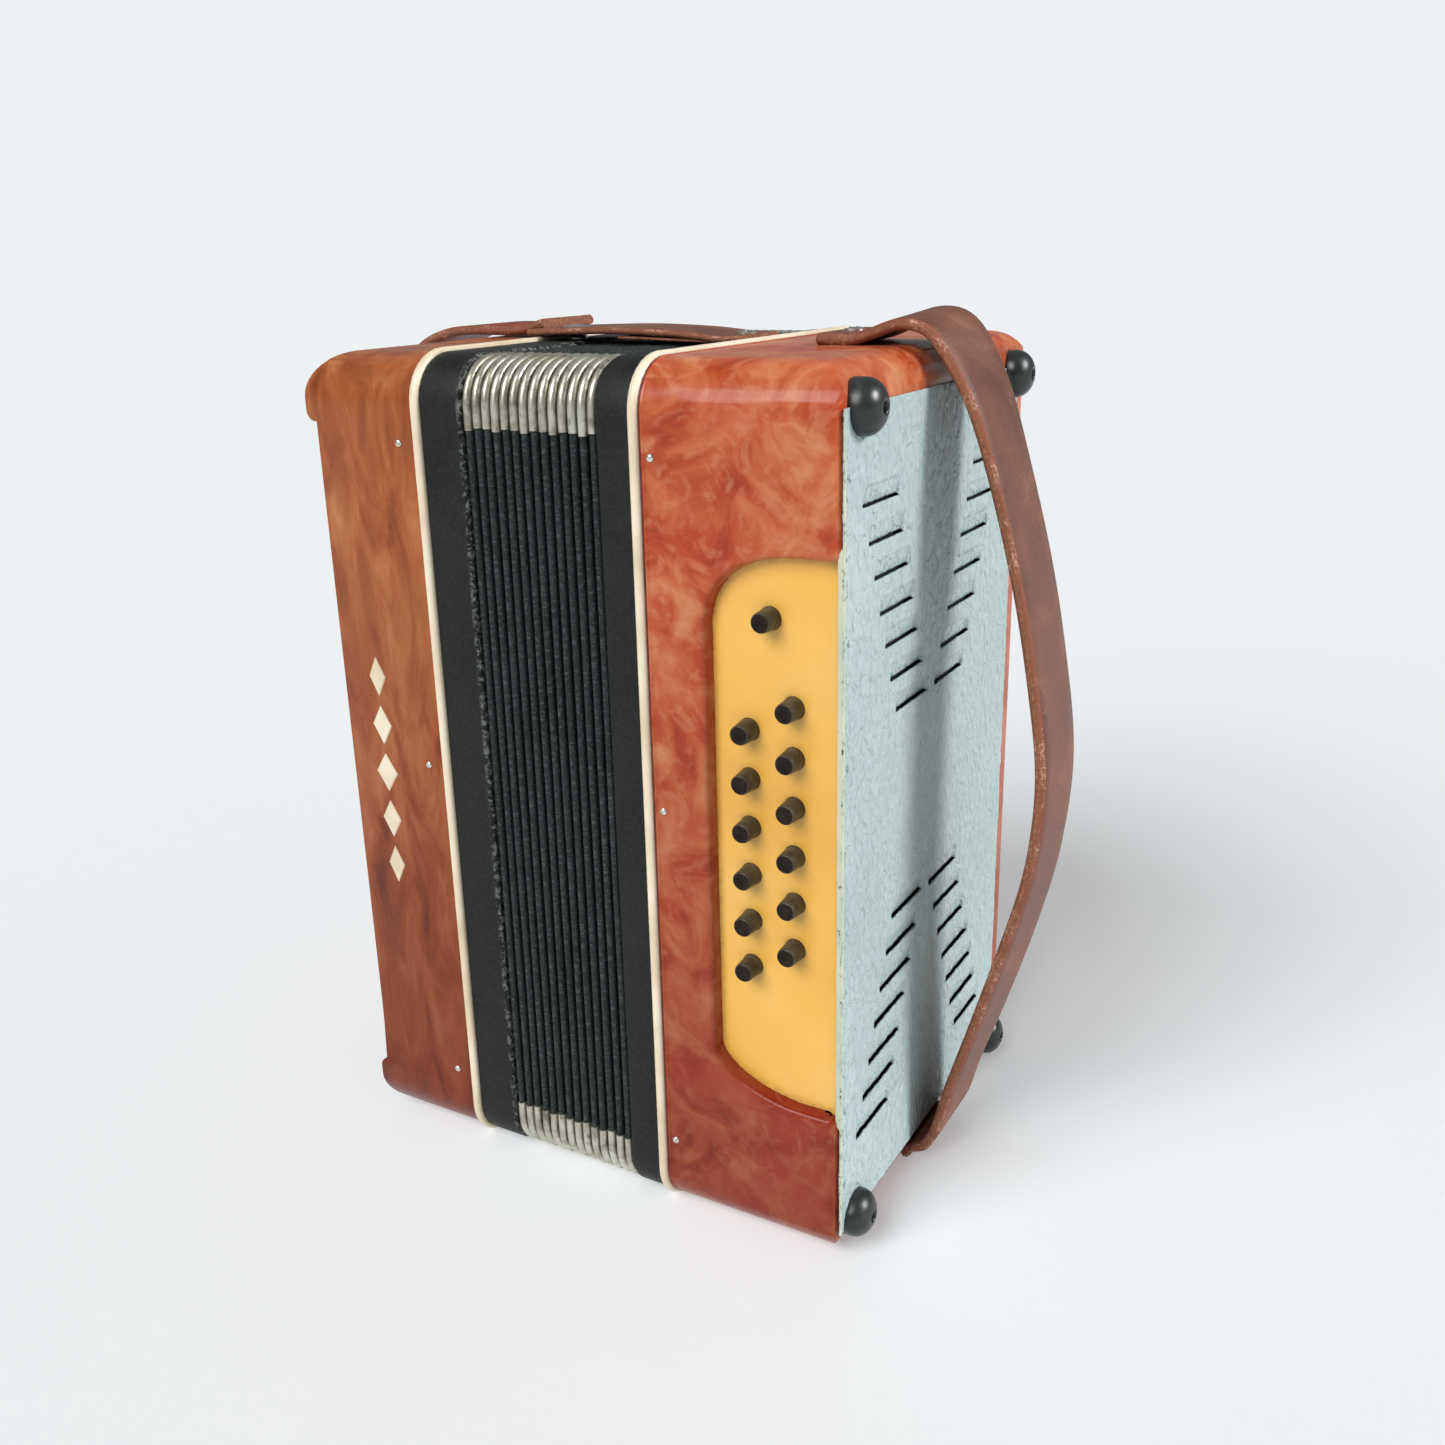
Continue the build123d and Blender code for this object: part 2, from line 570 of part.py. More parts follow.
with BuildPart() as rubber_feet:
    for foot_depth, foot_height in FEET:
        dome = (GRILLE_FACE - FOOT_SKIRT, GRILLE_FACE + FOOT_PROUD)
        rod_x(dome, foot_depth, foot_height, FOOT_RADIUS)
    fillet(faces().group_by(Axis.X)[-1].edges(), FOOT_ROUNDING)
    for foot_depth, foot_height in FEET:
        hole = (dome[1] - FOOT_HOLE_DEPTH, dome[1])
        rod_x(hole, foot_depth, foot_height, FOOT_HOLE_RADIUS, mode=Mode.SUBTRACT)
    # Each foot's skirt is moulded to the casing's rounded corner and to the grille.
    add(treble_casing.part, mode=Mode.SUBTRACT)
    add(end_grille.part, mode=Mode.SUBTRACT)
    block((GRILLE_FACE - FOOT_SKIRT, GRILLE_FACE), (-20, 0.5), (-20, HEIGHT + 20), mode=Mode.SUBTRACT)
finish(rubber_feet, "rubber_feet")

# ---------------------------------------------------------------- straps
# Middle line of each strap as (X, height), seen from the front.
STRAP_GAP = 0.1
STRAP_STEPS = 60
LOWER_CENTRE = (TREBLE_END - END_RADIUS, END_RADIUS)
SHOULDER_TURNS = (30.0, 48.0)
SHOULDER_FLAT = (-5.0, 5.0)
# It leaves the casing's top, crests over the end, bows out from the grille and curls back
# in to the casing's lower rounding.
SHOULDER_ROUTE = (
    (13.0, HEIGHT + 3.0),
    (23.4, HEIGHT + 6.8),
    (31.2, HEIGHT + 4.6),
    (37.2, 256.4),
    (44.0, 240.0),
    (54.5, 203.0),
    (61.4, 171.0),
    (65.6, 140.0),
    (63.7, 111.0),
    (57.6, 84.0),
    (48.4, 52.0),
    (41.2, 29.0),
    (37.2, 14.0),
    (33.4, 6.6),
)
BASS_CENTRE = (-RIB_END - RIB_RADIUS, RIB_RADIUS)
HAND_TURNS = (20.0, 46.0)
HAND_FLAT = (-BASS_FACE + 6.0, -BASS_FACE + 18.0)
# It leaves the top at a shallow slope and stands well off the end, for the back of a hand.
HAND_ROUTE = (
    (131.0, HEIGHT + 2.2),
    (141.0, HEIGHT + 2.3),
    (152.0, HEIGHT + 1.2),
    (163.0, 257.2),
    (172.0, 249.0),
    (179.0, 234.0),
    (182.6, 208.0),
    (183.4, 175.0),
    (181.6, 140.0),
    (176.4, 100.0),
    (167.0, 62.0),
    (156.4, 32.0),
)


def around(centre, radius, turn):
    """(X, height) on an arc round a centre, turned down from +X by so many degrees."""
    angle = radians(turn)
    return (centre[0] + radius * cos(angle), centre[1] - radius * sin(angle))


def strap(size, flat, route, centre, radius, turns):
    """A leather strap: flat on a casing's top, free along its route, wrapped at its end."""
    width, front, thickness = size
    turn_radius = radius + STRAP_GAP + thickness / 2
    top = HEIGHT + STRAP_GAP + thickness / 2
    wrap = [around(centre, turn_radius, turn) for turn in (turns[0], sum(turns) / 2, turns[1])]
    flat_points = ((flat[0], top), ((flat[0] + flat[1]) / 2, top), (flat[1], top))
    with BuildLine() as middle:
        Spline(*flat_points, *route, *wrap)
    route_wire = middle.wires()[0]
    faces_out = []
    faces_in = []
    for step in range(STRAP_STEPS + 1):
        place = route_wire @ (step / STRAP_STEPS)
        along = route_wire % (step / STRAP_STEPS)
        sideways = Vector(-along.Y, along.X) * thickness / 2
        faces_out.append(place + sideways)
        faces_in.append(place - sideways)
    with BuildSketch(Plane.XZ.offset(-at_depth(front))) as outline:
        with BuildLine():
            Spline(*faces_out)
            Line(faces_out[-1], faces_in[-1])
            Spline(*reversed(faces_in))
            Line(faces_in[0], faces_out[0])
        make_face()
    return extrude(outline.sketch, amount=-width, mode=Mode.PRIVATE)


with BuildPart() as shoulder_strap:
    add(strap(SHOULDER_STRAP, SHOULDER_FLAT, SHOULDER_ROUTE, LOWER_CENTRE, END_RADIUS, SHOULDER_TURNS))
    add(treble_casing.part, mode=Mode.SUBTRACT)
finish(shoulder_strap, "shoulder_strap")

# The hand strap is drawn facing +X, then mirrored to the bass end.
with BuildPart() as bass_hand_strap:
    hand_solid = strap(HAND_STRAP, HAND_FLAT, HAND_ROUTE, BASS_CENTRE, RIB_RADIUS, HAND_TURNS)
    add(mirror(hand_solid, about=Plane.YZ, mode=Mode.PRIVATE))
    add(bass_casing.part, mode=Mode.SUBTRACT)
finish(bass_hand_strap, "bass_hand_strap")

# The closing strap's free length swings up about its fold beside the fixed tab.
CLOSING_FOLD = (BELLOWS_END + 1.5, HEIGHT + CLOSING_STRAP[2] / 2 + 0.05)
FOLD_CLEARANCE = 0.6
CLOSING_TAB = (CLOSING_FOLD[0] + CLOSING_STRAP[2] / 2 + FOLD_CLEARANCE, TREBLE_FRAME_END - 0.3)
CLOSING_END = BASS_FACE - 2.2
CLOSING_ROUTE = (
    CLOSING_FOLD,
    (BELLOWS_END - 14.0, HEIGHT + 2.6),
    (BELLOWS_START + 12.0, HEIGHT + 3.2),
    (BASS_FRAME_START + 2.0, HEIGHT + 2.7),
    (CLOSING_END, HEIGHT + 2.5),
)
CLOSING_MIDDLE = CLOSING_STRAP[1] + CLOSING_STRAP[0] / 2
SNAP_X = BASS_FRAME_START + 5.0
STUD = (3.5, 1.2)
SNAP_CAP = (4.5, 0.9)

with BuildPart() as closing_strap_tab:
    tab_depths = (CLOSING_STRAP[1], CLOSING_STRAP[1] + CLOSING_STRAP[0])
    block(CLOSING_TAB, tab_depths, (HEIGHT, HEIGHT + CLOSING_STRAP[2]))
finish(closing_strap_tab, "closing_strap_tab")

with BuildPart() as closing_strap:
    with BuildSketch(Plane.XZ.offset(-at_depth(CLOSING_STRAP[1]))) as closing_side:
        with BuildLine():
            Spline(*CLOSING_ROUTE)
        trace(line_width=CLOSING_STRAP[2])
        with Locations(CLOSING_FOLD):
            Circle(CLOSING_STRAP[2] / 2)
    extrude(amount=-CLOSING_STRAP[0])
finish(closing_strap, "closing_strap")

with BuildPart() as snap_cap:
    cap_base = HEIGHT + 2.6 + CLOSING_STRAP[2] / 2
    rod_z(SNAP_X, CLOSING_MIDDLE, (cap_base - 0.4, cap_base + SNAP_CAP[1]), SNAP_CAP[0])
    chamfer(faces().sort_by(Axis.Z)[-1].edges(), 0.5)
finish(snap_cap, "snap_cap")

# ---------------------------------------------------------------- screws and bass fittings
SCREW_HEAD = (3.0, 1.0)
SCREW_SHANK = (1.2, 5.0)


def screw(place, tilt):
    """A round-headed screw whose head's underside is at a place, tilted about Y."""
    with Locations(Location(place, (0, tilt, 0))):
        Cylinder(SCREW_HEAD[0], SCREW_HEAD[1], align=(Align.CENTER, Align.CENTER, Align.MIN))
        Cylinder(SCREW_SHANK[0], SCREW_SHANK[1], align=(Align.CENTER, Align.CENTER, Align.MAX))


def top_screw(x, depth, height):
    """An upright screw."""
    screw((x, at_depth(depth), height), 0)


def wrap_screw(centre, radius, turn, depth):
    """A screw through a strap's wrapped end, pointing at the rounding's centre."""
    x, height = around(centre, radius, turn)
    screw((x, at_depth(depth), height), 90 + turn)


STRAP_SCREW_TURN = 32.0
HAND_SCREW_SPREAD = 9.0

with BuildPart() as treble_screws:
    shoulder_middle = SHOULDER_STRAP[1] + SHOULDER_STRAP[0] / 2
    top_screw(0, shoulder_middle, HEIGHT + SHOULDER_STRAP[2])
    wrap_radius = END_RADIUS + SHOULDER_STRAP[2]
    wrap_screw(LOWER_CENTRE, wrap_radius, STRAP_SCREW_TURN, shoulder_middle)
    top_screw(sum(CLOSING_TAB) / 2, CLOSING_MIDDLE, HEIGHT + CLOSING_STRAP[2])
    for foot_depth, foot_height in FEET:
        head = GRILLE_FACE + FOOT_PROUD - FOOT_HOLE_DEPTH
        rod_x((head, head + SCREW_HEAD[1]), foot_depth, foot_height, FOOT_HOLE_RADIUS - 0.1)
        rod_x((RIM_FACE, head), foot_depth, foot_height, SCREW_SHANK[0])
finish(treble_screws, "treble_screws")

with BuildPart() as bass_fittings:
    casing_nails(BASS_FACE - 5.8)
    rod_z(SNAP_X, CLOSING_MIDDLE, (HEIGHT, HEIGHT + STUD[1]), STUD[0])
    hand_middle = HAND_STRAP[1] + HAND_STRAP[0] / 2
    for screw_depth in (hand_middle - HAND_SCREW_SPREAD, hand_middle + HAND_SCREW_SPREAD):
        top_screw(-sum(HAND_FLAT) / 2, screw_depth, HEIGHT + HAND_STRAP[2])
        wrap_radius = RIB_RADIUS + HAND_STRAP[2]
        bass_centre = (-BASS_CENTRE[0], BASS_CENTRE[1])
        wrap_screw(bass_centre, wrap_radius, 180 - STRAP_SCREW_TURN, screw_depth)
finish(bass_fittings, "bass_fittings")
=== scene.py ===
"""Looks for the small two-row button accordion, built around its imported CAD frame."""

import json
import math
from contextlib import contextmanager

import bmesh
import bpy
import numpy as np
from mathutils import Matrix, Vector


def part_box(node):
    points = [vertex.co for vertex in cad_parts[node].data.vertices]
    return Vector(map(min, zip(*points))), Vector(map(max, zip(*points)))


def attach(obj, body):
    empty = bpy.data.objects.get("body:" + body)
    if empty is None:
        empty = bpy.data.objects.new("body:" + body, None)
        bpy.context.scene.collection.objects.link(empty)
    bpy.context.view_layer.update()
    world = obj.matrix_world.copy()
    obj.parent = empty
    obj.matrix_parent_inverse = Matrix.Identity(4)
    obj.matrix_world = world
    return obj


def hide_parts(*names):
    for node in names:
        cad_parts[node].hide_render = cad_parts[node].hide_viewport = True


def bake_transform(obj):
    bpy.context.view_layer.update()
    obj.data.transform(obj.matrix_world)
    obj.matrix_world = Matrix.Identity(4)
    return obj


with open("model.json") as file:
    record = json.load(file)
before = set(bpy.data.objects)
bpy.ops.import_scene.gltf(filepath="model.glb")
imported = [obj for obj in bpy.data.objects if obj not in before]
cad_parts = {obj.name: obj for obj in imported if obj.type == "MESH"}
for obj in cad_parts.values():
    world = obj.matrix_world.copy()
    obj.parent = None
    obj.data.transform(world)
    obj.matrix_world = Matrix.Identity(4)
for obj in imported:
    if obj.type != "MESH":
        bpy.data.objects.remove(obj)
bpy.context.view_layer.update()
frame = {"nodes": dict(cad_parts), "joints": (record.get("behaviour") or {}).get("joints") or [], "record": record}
NODES = frame["nodes"]
JOINTS = {joint["name"]: joint for joint in frame["joints"]}
MM = 0.001

# ---------------------------------------------------------------- places from the frame
casing_low, casing_high = map(Vector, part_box("treble_casing"))
bass_low, bass_high = map(Vector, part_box("bass_casing"))
grille_low, grille_high = map(Vector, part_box("end_grille"))
treble_frame_low, treble_frame_high = map(Vector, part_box("treble_bellows_frame"))
bass_frame_low, bass_frame_high = map(Vector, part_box("bass_bellows_frame"))
plate_low, plate_high = map(Vector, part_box("keyboard_plate"))
HEIGHT = casing_high.z
DEPTH = casing_high.y - casing_low.y
FRONT = casing_low.y
BACK = casing_high.y
CORNER = 14 * MM
FOLDS = 14
BELLOWS_START = bass_frame_high.x
BELLOWS_END = treble_frame_low.x
PITCH = (BELLOWS_END - BELLOWS_START) / FOLDS
GRILLE_FACE = grille_low.x + 1 * MM


# ---------------------------------------------------------------- mesh helpers
def add_object(name, data):
    """A new object in the scene that shows this data."""
    obj = bpy.data.objects.new(name, data)
    bpy.context.scene.collection.objects.link(obj)
    return obj


@contextmanager
def edited(obj):
    """The object's mesh opened for editing, and written back afterwards."""
    bm = bmesh.new()
    bm.from_mesh(obj.data)
    yield bm
    bm.to_mesh(obj.data)
    bm.free()


def make(name, verts, faces, materials, sharp=40):
    """A mesh object from vertices and faces, with edges over the sharp angle kept crisp."""
    mesh = bpy.data.meshes.new(name)
    mesh.from_pydata([tuple(v) for v in verts], [], [tuple(f) for f in faces])
    obj = add_object(name, mesh)
    for material in materials if isinstance(materials, (list, tuple)) else [materials]:
        mesh.materials.append(material)
    tidy_normals(obj, sharp)
    return obj


def tidy_normals(obj, sharp=40):
    """Outward normals, smooth faces, and sharp edges marked by their angle."""
    with edited(obj) as bm:
        bmesh.ops.recalc_face_normals(bm, faces=bm.faces)
        for face in bm.faces:
            face.smooth = True
        for edge in bm.edges:
            if len(edge.link_faces) == 2:
                edge.smooth = edge.calc_face_angle(0.0) < math.radians(sharp)


def weld(obj, distance=1e-7):
    """Merges an object's points that lie on each other."""
    with edited(obj) as bm:
        bmesh.ops.remove_doubles(bm, verts=bm.verts, dist=distance)


def drop_loose(bm):
    """Deletes the points that no face uses."""
    bmesh.ops.delete(bm, geom=[v for v in bm.verts if not v.link_faces], context="VERTS")


def grid_faces(rows, count, loop_rows=False, loop_points=False):
    """Quads between rows of count points; a loop joins the last row or point to the first."""
    faces = []
    for row in range(rows if loop_rows else rows - 1):
        here = row * count
        beyond = (row + 1) % rows * count
        for j in range(count if loop_points else count - 1):
            k = (j + 1) % count
            faces.append((here + j, here + k, beyond + k, beyond + j))
    return faces


def end_caps(rows, count):
    """The faces that close the first and the last row of a grid."""
    return [tuple(range(count)), tuple(range((rows - 1) * count, rows * count))]


def direction(angle):
    """The unit vector at an angle in degrees."""
    turn = math.radians(angle)
    return Vector((math.cos(turn), math.sin(turn)))


def lathe(name, profile, origin, axis, material, steps=48, sharp=40):
    """Turns a profile of (radius, height) round an axis through an origin."""
    turn = Vector((0, 0, 1)).rotation_difference(Vector(axis)).to_matrix()
    verts = []
    for k in range(steps):
        angle = 2 * math.pi * k / steps
        for radius, height in profile:
            local = Vector((radius * math.cos(angle), radius * math.sin(angle), height))
            verts.append(Vector(origin) + turn @ local)
    obj = make(name, verts, grid_faces(steps, len(profile), loop_rows=True), material, sharp)
    weld(obj)
    tidy_normals(obj, sharp)
    return obj


def outline(straight_steps=(14, 26), arc_steps=9):
    """The casings' section as closed (point, normal) pairs in Y and Z, from the front top corner."""
    half_y = DEPTH / 2 - CORNER
    half_z = HEIGHT / 2 - CORNER
    middle = Vector((0, HEIGHT / 2))
    centres = ((half_y, half_z), (-half_y, half_z), (-half_y, -half_z), (half_y, -half_z))
    corners = [(middle + Vector(centre), 90 * index) for index, centre in enumerate(centres)]
    points = []
    for index, (centre, start) in enumerate(corners):
        for step in range(arc_steps + 1):
            normal = direction(start + 90 * step / arc_steps)
            points.append((centre + normal * CORNER, normal))
        following, next_start = corners[(index + 1) % 4]
        begin, normal = points[-1]
        end = following + direction(next_start) * CORNER
        steps = straight_steps[index % 2]
        for step in range(1, steps):
            points.append((begin.lerp(end, step / steps), normal))
    return points


def sweep_ring(name, profile, material, points=None, wobble=0.0, seed=0.0):
    """Sweeps a profile of (X, offset from the section) round it, or along part of it with caps."""
    closed = points is None
    points = points or outline()
    verts = []
    for index, (place, normal) in enumerate(points):
        for x, offset in profile:
            wave = math.sin(index * 0.61 + seed * 2.3) + math.sin(index * 0.233 + seed * 5.1 + 1)
            spot = place + normal * (offset + wobble * wave)
            verts.append((x, spot.x, max(spot.y, 0.1 * MM)))
    faces = grid_faces(len(points), len(profile), loop_rows=closed)
    if not closed:
        faces += end_caps(len(points), len(profile))
    return make(name, verts, faces, material)


def apply_modifiers(obj):
    """Bakes an object's modifiers into its mesh."""
    depsgraph = bpy.context.evaluated_depsgraph_get()
    mesh = bpy.data.meshes.new_from_object(obj.evaluated_get(depsgraph))
    obj.modifiers.clear()
    old = obj.data
    obj.data = mesh
    bpy.data.meshes.remove(old)


def join(name, parts):
    """One mesh object made of several, which are removed."""
    bm = bmesh.new()
    materials = []
    for part in parts:
        for material in part.data.materials:
            if material not in materials:
                materials.append(material)
    for part in parts:
        before = len(bm.faces)
        bm.from_mesh(part.data)
        bm.faces.ensure_lookup_table()
        own = list(part.data.materials)
        for face in bm.faces[before:]:
            face.material_index = materials.index(own[face.material_index]) if own else 0
        bpy.data.objects.remove(part)
    mesh = bpy.data.meshes.new(name)
    bm.to_mesh(mesh)
    bm.free()
    for material in materials:
        mesh.materials.append(material)
    return add_object(name, mesh)


# ---------------------------------------------------------------- material helpers
class Shader:
    """A Principled material and short names for the nodes that feed it."""

    def __init__(self, name, **values):
        self.material = bpy.data.materials.new(name)
        self.material.use_nodes = True
        self.tree = self.material.node_tree
        self.main = self.tree.nodes["Principled BSDF"]
        self.coords = self.tree.nodes.new("ShaderNodeTexCoord").outputs["Object"]
        for key, value in values.items():
            self.main.inputs[key.replace("_", " ")].default_value = value

    def node(self, kind, inputs=None, **settings):
        node = self.tree.nodes.new(kind)
        for key, value in settings.items():
            setattr(node, key, value)
        for key, value in (inputs or {}).items():
            self.feed(node.inputs[key], value)
        return node

    def feed(self, socket, value):
        if isinstance(value, bpy.types.NodeSocket):
            self.tree.links.new(value, socket)
        else:
            socket.default_value = value

    def stretch(self, scale, turn=(0, 0, 0)):
        rotation = tuple(math.radians(angle) for angle in turn)
        inputs = {"Vector": self.coords, "Scale": scale, "Rotation": rotation}
        return self.node("ShaderNodeMapping", inputs).outputs["Vector"]

    def noise(self, scale, detail=4, roughness=0.55, distortion=0.0, vector=None):
        inputs = {
            "Vector": vector or self.coords,
            "Scale": scale,
            "Detail": detail,
            "Roughness": roughness,
            "Distortion": distortion,
        }
        return self.node("ShaderNodeTexNoise", inputs).outputs["Fac"]

    def cells(self, scale, vector=None, feature="F1"):
        inputs = {"Vector": vector or self.coords, "Scale": scale}
        return self.node("ShaderNodeTexVoronoi", inputs, feature=feature).outputs["Distance"]

    def ramp(self, factor, stops):
        node = self.node("ShaderNodeValToRGB", {"Fac": factor})
        ramp = node.color_ramp
        while len(ramp.elements) < len(stops):
            ramp.elements.new(0.5)
        for element, (place, colour) in zip(ramp.elements, stops):
            element.position = place
            element.color = (*colour, 1) if len(colour) == 3 else colour
        return node.outputs["Color"]

    def level(self, factor, low, high, to_low=0.0, to_high=1.0):
        inputs = {"Value": factor, "From Min": low, "From Max": high, "To Min": to_low, "To Max": to_high}
        return self.node("ShaderNodeMapRange", inputs, clamp=True).outputs["Result"]

    def blend(self, factor, first, second, mode="MIX"):
        node = self.node("ShaderNodeMix", data_type="RGBA", blend_type=mode)
        self.feed(node.inputs["Factor"], factor)
        for socket, value in ((node.inputs[6], first), (node.inputs[7], second)):
            self.feed(socket, value if isinstance(value, bpy.types.NodeSocket) else (*value, 1))
        return node.outputs[2]

    def math(self, operation, first, second=0.0):
        node = self.tree.nodes.new("ShaderNodeMath")
        node.operation = operation
        self.feed(node.inputs[0], first)
        self.feed(node.inputs[1], second)
        return node.outputs[0]

    def axis(self, name, vector=None):
        return self.node("ShaderNodeSeparateXYZ", {"Vector": vector or self.coords}).outputs[name]

    def bump(self, height, distance, strength=1.0):
        inputs = {"Height": height, "Distance": distance, "Strength": strength}
        if self.main.inputs["Normal"].is_linked:
            inputs["Normal"] = self.main.inputs["Normal"].links[0].from_socket
        self.feed(self.main.inputs["Normal"], self.node("ShaderNodeBump", inputs).outputs["Normal"])

    def colour(self, value):
        self.feed(self.main.inputs["Base Color"], value)

    def tones(self, factor, *stops):
        self.colour(self.ramp(factor, stops))

    def rough(self, value):
        self.feed(self.main.inputs["Roughness"], value)


# ---------------------------------------------------------------- materials
def painted_lower_shade(s, colour, factors):
    """Painted shade: deepens a colour towards the underside, by a factor for each channel."""
    channels = [s.level(s.axis("Z"), 0.0, 0.2, factor, 1.0) for factor in factors]
    shade_tint = s.node("ShaderNodeCombineColor", dict(zip(("Red", "Green", "Blue"), channels))).outputs[0]
    return s.blend(1.0, colour, shade_tint, "MULTIPLY")


def pearl_red():
    """Marbled celluloid with cloudy swirls, glossy on top."""
    s = Shader("pearl_red", Coat_Weight=0.22, Coat_Roughness=0.1, Specular_IOR_Level=0.2)
    warp = s.noise(26, 3, 0.5, 1.0)
    swirl = s.noise(48, 5, 0.58, 1.3)
    wisps = s.noise(95, 4, 0.55, 2.2)
    stops = [(0.28, (0.25, 0.022, 0.006)), (0.42, (0.40, 0.056, 0.015))]
    stops += [(0.56, (0.50, 0.128, 0.046)), (0.74, (0.60, 0.25, 0.12))]
    base = s.ramp(swirl, stops)
    reds = s.blend(s.level(warp, 0.45, 0.7, 0.0, 0.6), base, (0.46, 0.040, 0.014))
    pale = s.level(wisps, 0.5, 0.7, 0.0, 0.5)
    # Painted shade darkens the red celluloid towards the bottom.
    s.colour(painted_lower_shade(s, s.blend(pale, reds, (0.60, 0.24, 0.12)), (0.50, 0.28, 0.22)))
    s.rough(s.level(wisps, 0.3, 0.7, 0.24, 0.4))
    s.bump(s.noise(95, 4, 0.5, 1.0), 0.0006, 0.35)
    return s.material


def pearl_brown():
    """The bass side's browner celluloid, streaked on a slant."""
    s = Shader("pearl_brown", Coat_Weight=0.10, Coat_Roughness=0.12, Specular_IOR_Level=0.2)
    slant = s.stretch((1.0, 1.0, 0.32), (0, 24, 0))
    streaks = s.noise(85, 6, 0.6, 0.8, slant)
    clouds = s.noise(22, 4, 0.5, 1.0)
    stops = [(0.32, (0.16, 0.028, 0.006)), (0.48, (0.32, 0.075, 0.018))]
    stops += [(0.60, (0.42, 0.135, 0.045)), (0.76, (0.50, 0.23, 0.11))]
    base = s.ramp(streaks, stops)
    tone = s.blend(s.level(clouds, 0.4, 0.65, 0.0, 0.5), base, (0.36, 0.115, 0.035))
    # Painted shade darkens the brown celluloid towards the bottom.
    s.colour(painted_lower_shade(s, tone, (0.44, 0.20, 0.12)))
    s.rough(s.level(streaks, 0.3, 0.7, 0.26, 0.42))
    s.bump(s.noise(90, 3, 0.5, 0.5), 0.0005, 0.3)
    return s.material


def cream():
    """Ivory-coloured beading, yellowed a little."""
    s = Shader("cream_binding", Coat_Weight=0.3, Coat_Roughness=0.2)
    cloud = s.noise(45, 5, 0.6)
    s.tones(cloud, (0.3, (0.66, 0.52, 0.35)), (0.6, (0.83, 0.73, 0.55)), (0.8, (0.88, 0.80, 0.66)))
    s.rough(0.38)
    s.bump(s.noise(600, 2), 0.0001, 0.3)
    return s.material


def black_covering():
    """Fine black covering on the bellows frames, worn greyish in places."""
    s = Shader("black_frame", Specular_IOR_Level=0.22)
    wear = s.noise(26, 6, 0.65, 0.6)
    fine = s.noise(900, 3, 0.6)
    stops = [(0.35, (0.006, 0.008, 0.007)), (0.6, (0.012, 0.014, 0.012)), (0.8, (0.028, 0.029, 0.024))]
    dark = s.ramp(wear, stops)
    dark = s.blend(s.level(fine, 0.45, 0.7, 0, 0.3), dark, (0.035, 0.038, 0.034))
    edge = s.level(s.axis("X"), bass_frame_high.x - 1.6 * MM, bass_frame_high.x - 0.4 * MM)
    beyond = s.level(s.axis("X"), bass_frame_high.x, bass_frame_high.x + 1 * MM, 1.0, 0.0)
    chips = s.level(s.noise(420, 6, 0.8, 0.6), 0.50, 0.58)
    ragged = s.math("MULTIPLY", s.math("MULTIPLY", edge, beyond), chips)
    s.colour(s.blend(ragged, dark, (0.20, 0.21, 0.20)))
    s.rough(s.level(wear, 0.3, 0.7, 0.42, 0.62))
    s.bump(fine, 0.00015, 0.6)
    return s.material


def bellows_cloth():
    """Blue-black woven cloth whose lighter threads are partly weave and partly a painted sheen."""
    s = Shader("bellows_cloth", Specular_IOR_Level=0.25)
    threads = s.noise(1500, 2, 0.5, 0.0, s.stretch((0.25, 1.0, 1.0)))
    wear = s.noise(55, 5, 0.6)
    base = s.ramp(wear, [(0.35, (0.008, 0.013, 0.013)), (0.65, (0.017, 0.024, 0.024))])
    # The lighter thread colour is partly the weave and partly a painted highlight.
    s.colour(s.blend(s.level(threads, 0.5, 0.72, 0, 0.5), base, (0.100, 0.118, 0.118)))
    s.rough(s.level(threads, 0.35, 0.7, 0.62, 0.36))
    s.bump(threads, 0.0003, 0.7)
    return s.material


def corner_metal():
    """Tarnished nickel with scuffs and dark pits."""
    s = Shader("corner_metal", Metallic=0.85)
    patches = s.noise(160, 6, 0.65, 0.6)
    scratches = s.noise(700, 5, 0.7, 0.0, s.stretch((1.0, 0.4, 0.4)))
    base = s.ramp(patches, [(0.3, (0.20, 0.18, 0.13)), (0.5, (0.52, 0.50, 0.41)), (0.7, (0.72, 0.71, 0.64))])
    pits = s.level(scratches, 0.30, 0.42, 0.75, 0.0)
    s.colour(s.blend(pits, base, (0.07, 0.06, 0.045)))
    s.rough(s.level(patches, 0.3, 0.7, 0.5, 0.27))
    s.bump(scratches, 0.0002, 0.5)
    return s.material


def yellow_plate():
    """Warm yellow keyboard plate, darker round its edge and round the buttons: painted shade from an occlusion
    mask, broken up by grime.
    """
    s = Shader("yellow_plate", Coat_Weight=0.25, Coat_Roughness=0.25)
    cloud = s.noise(18, 4, 0.5)
    base = s.ramp(cloud, [(0.3, (0.76, 0.39, 0.050)), (0.55, (0.84, 0.46, 0.072)), (0.8, (0.87, 0.53, 0.13))])
    # Painted shade: an occlusion mask darkens the plate near the recess walls and the buttons, and speck noise
    # breaks it up as grime.
    corner = s.node("ShaderNodeAmbientOcclusion", {"Distance": 0.004}, samples=8).outputs["AO"]
    specks = s.noise(420, 6, 0.75)
    grime_and_shade = s.math("MULTIPLY", s.level(corner, 0.45, 0.85, 0.75, 0.0), s.level(specks, 0.42, 0.6, 0.25, 1.0))
    s.colour(s.blend(grime_and_shade, base, (0.30, 0.15, 0.05)))
    s.rough(s.level(specks, 0.3, 0.7, 0.3, 0.42))
    s.bump(s.noise(260, 3), 0.0001, 0.3)
    return s.material


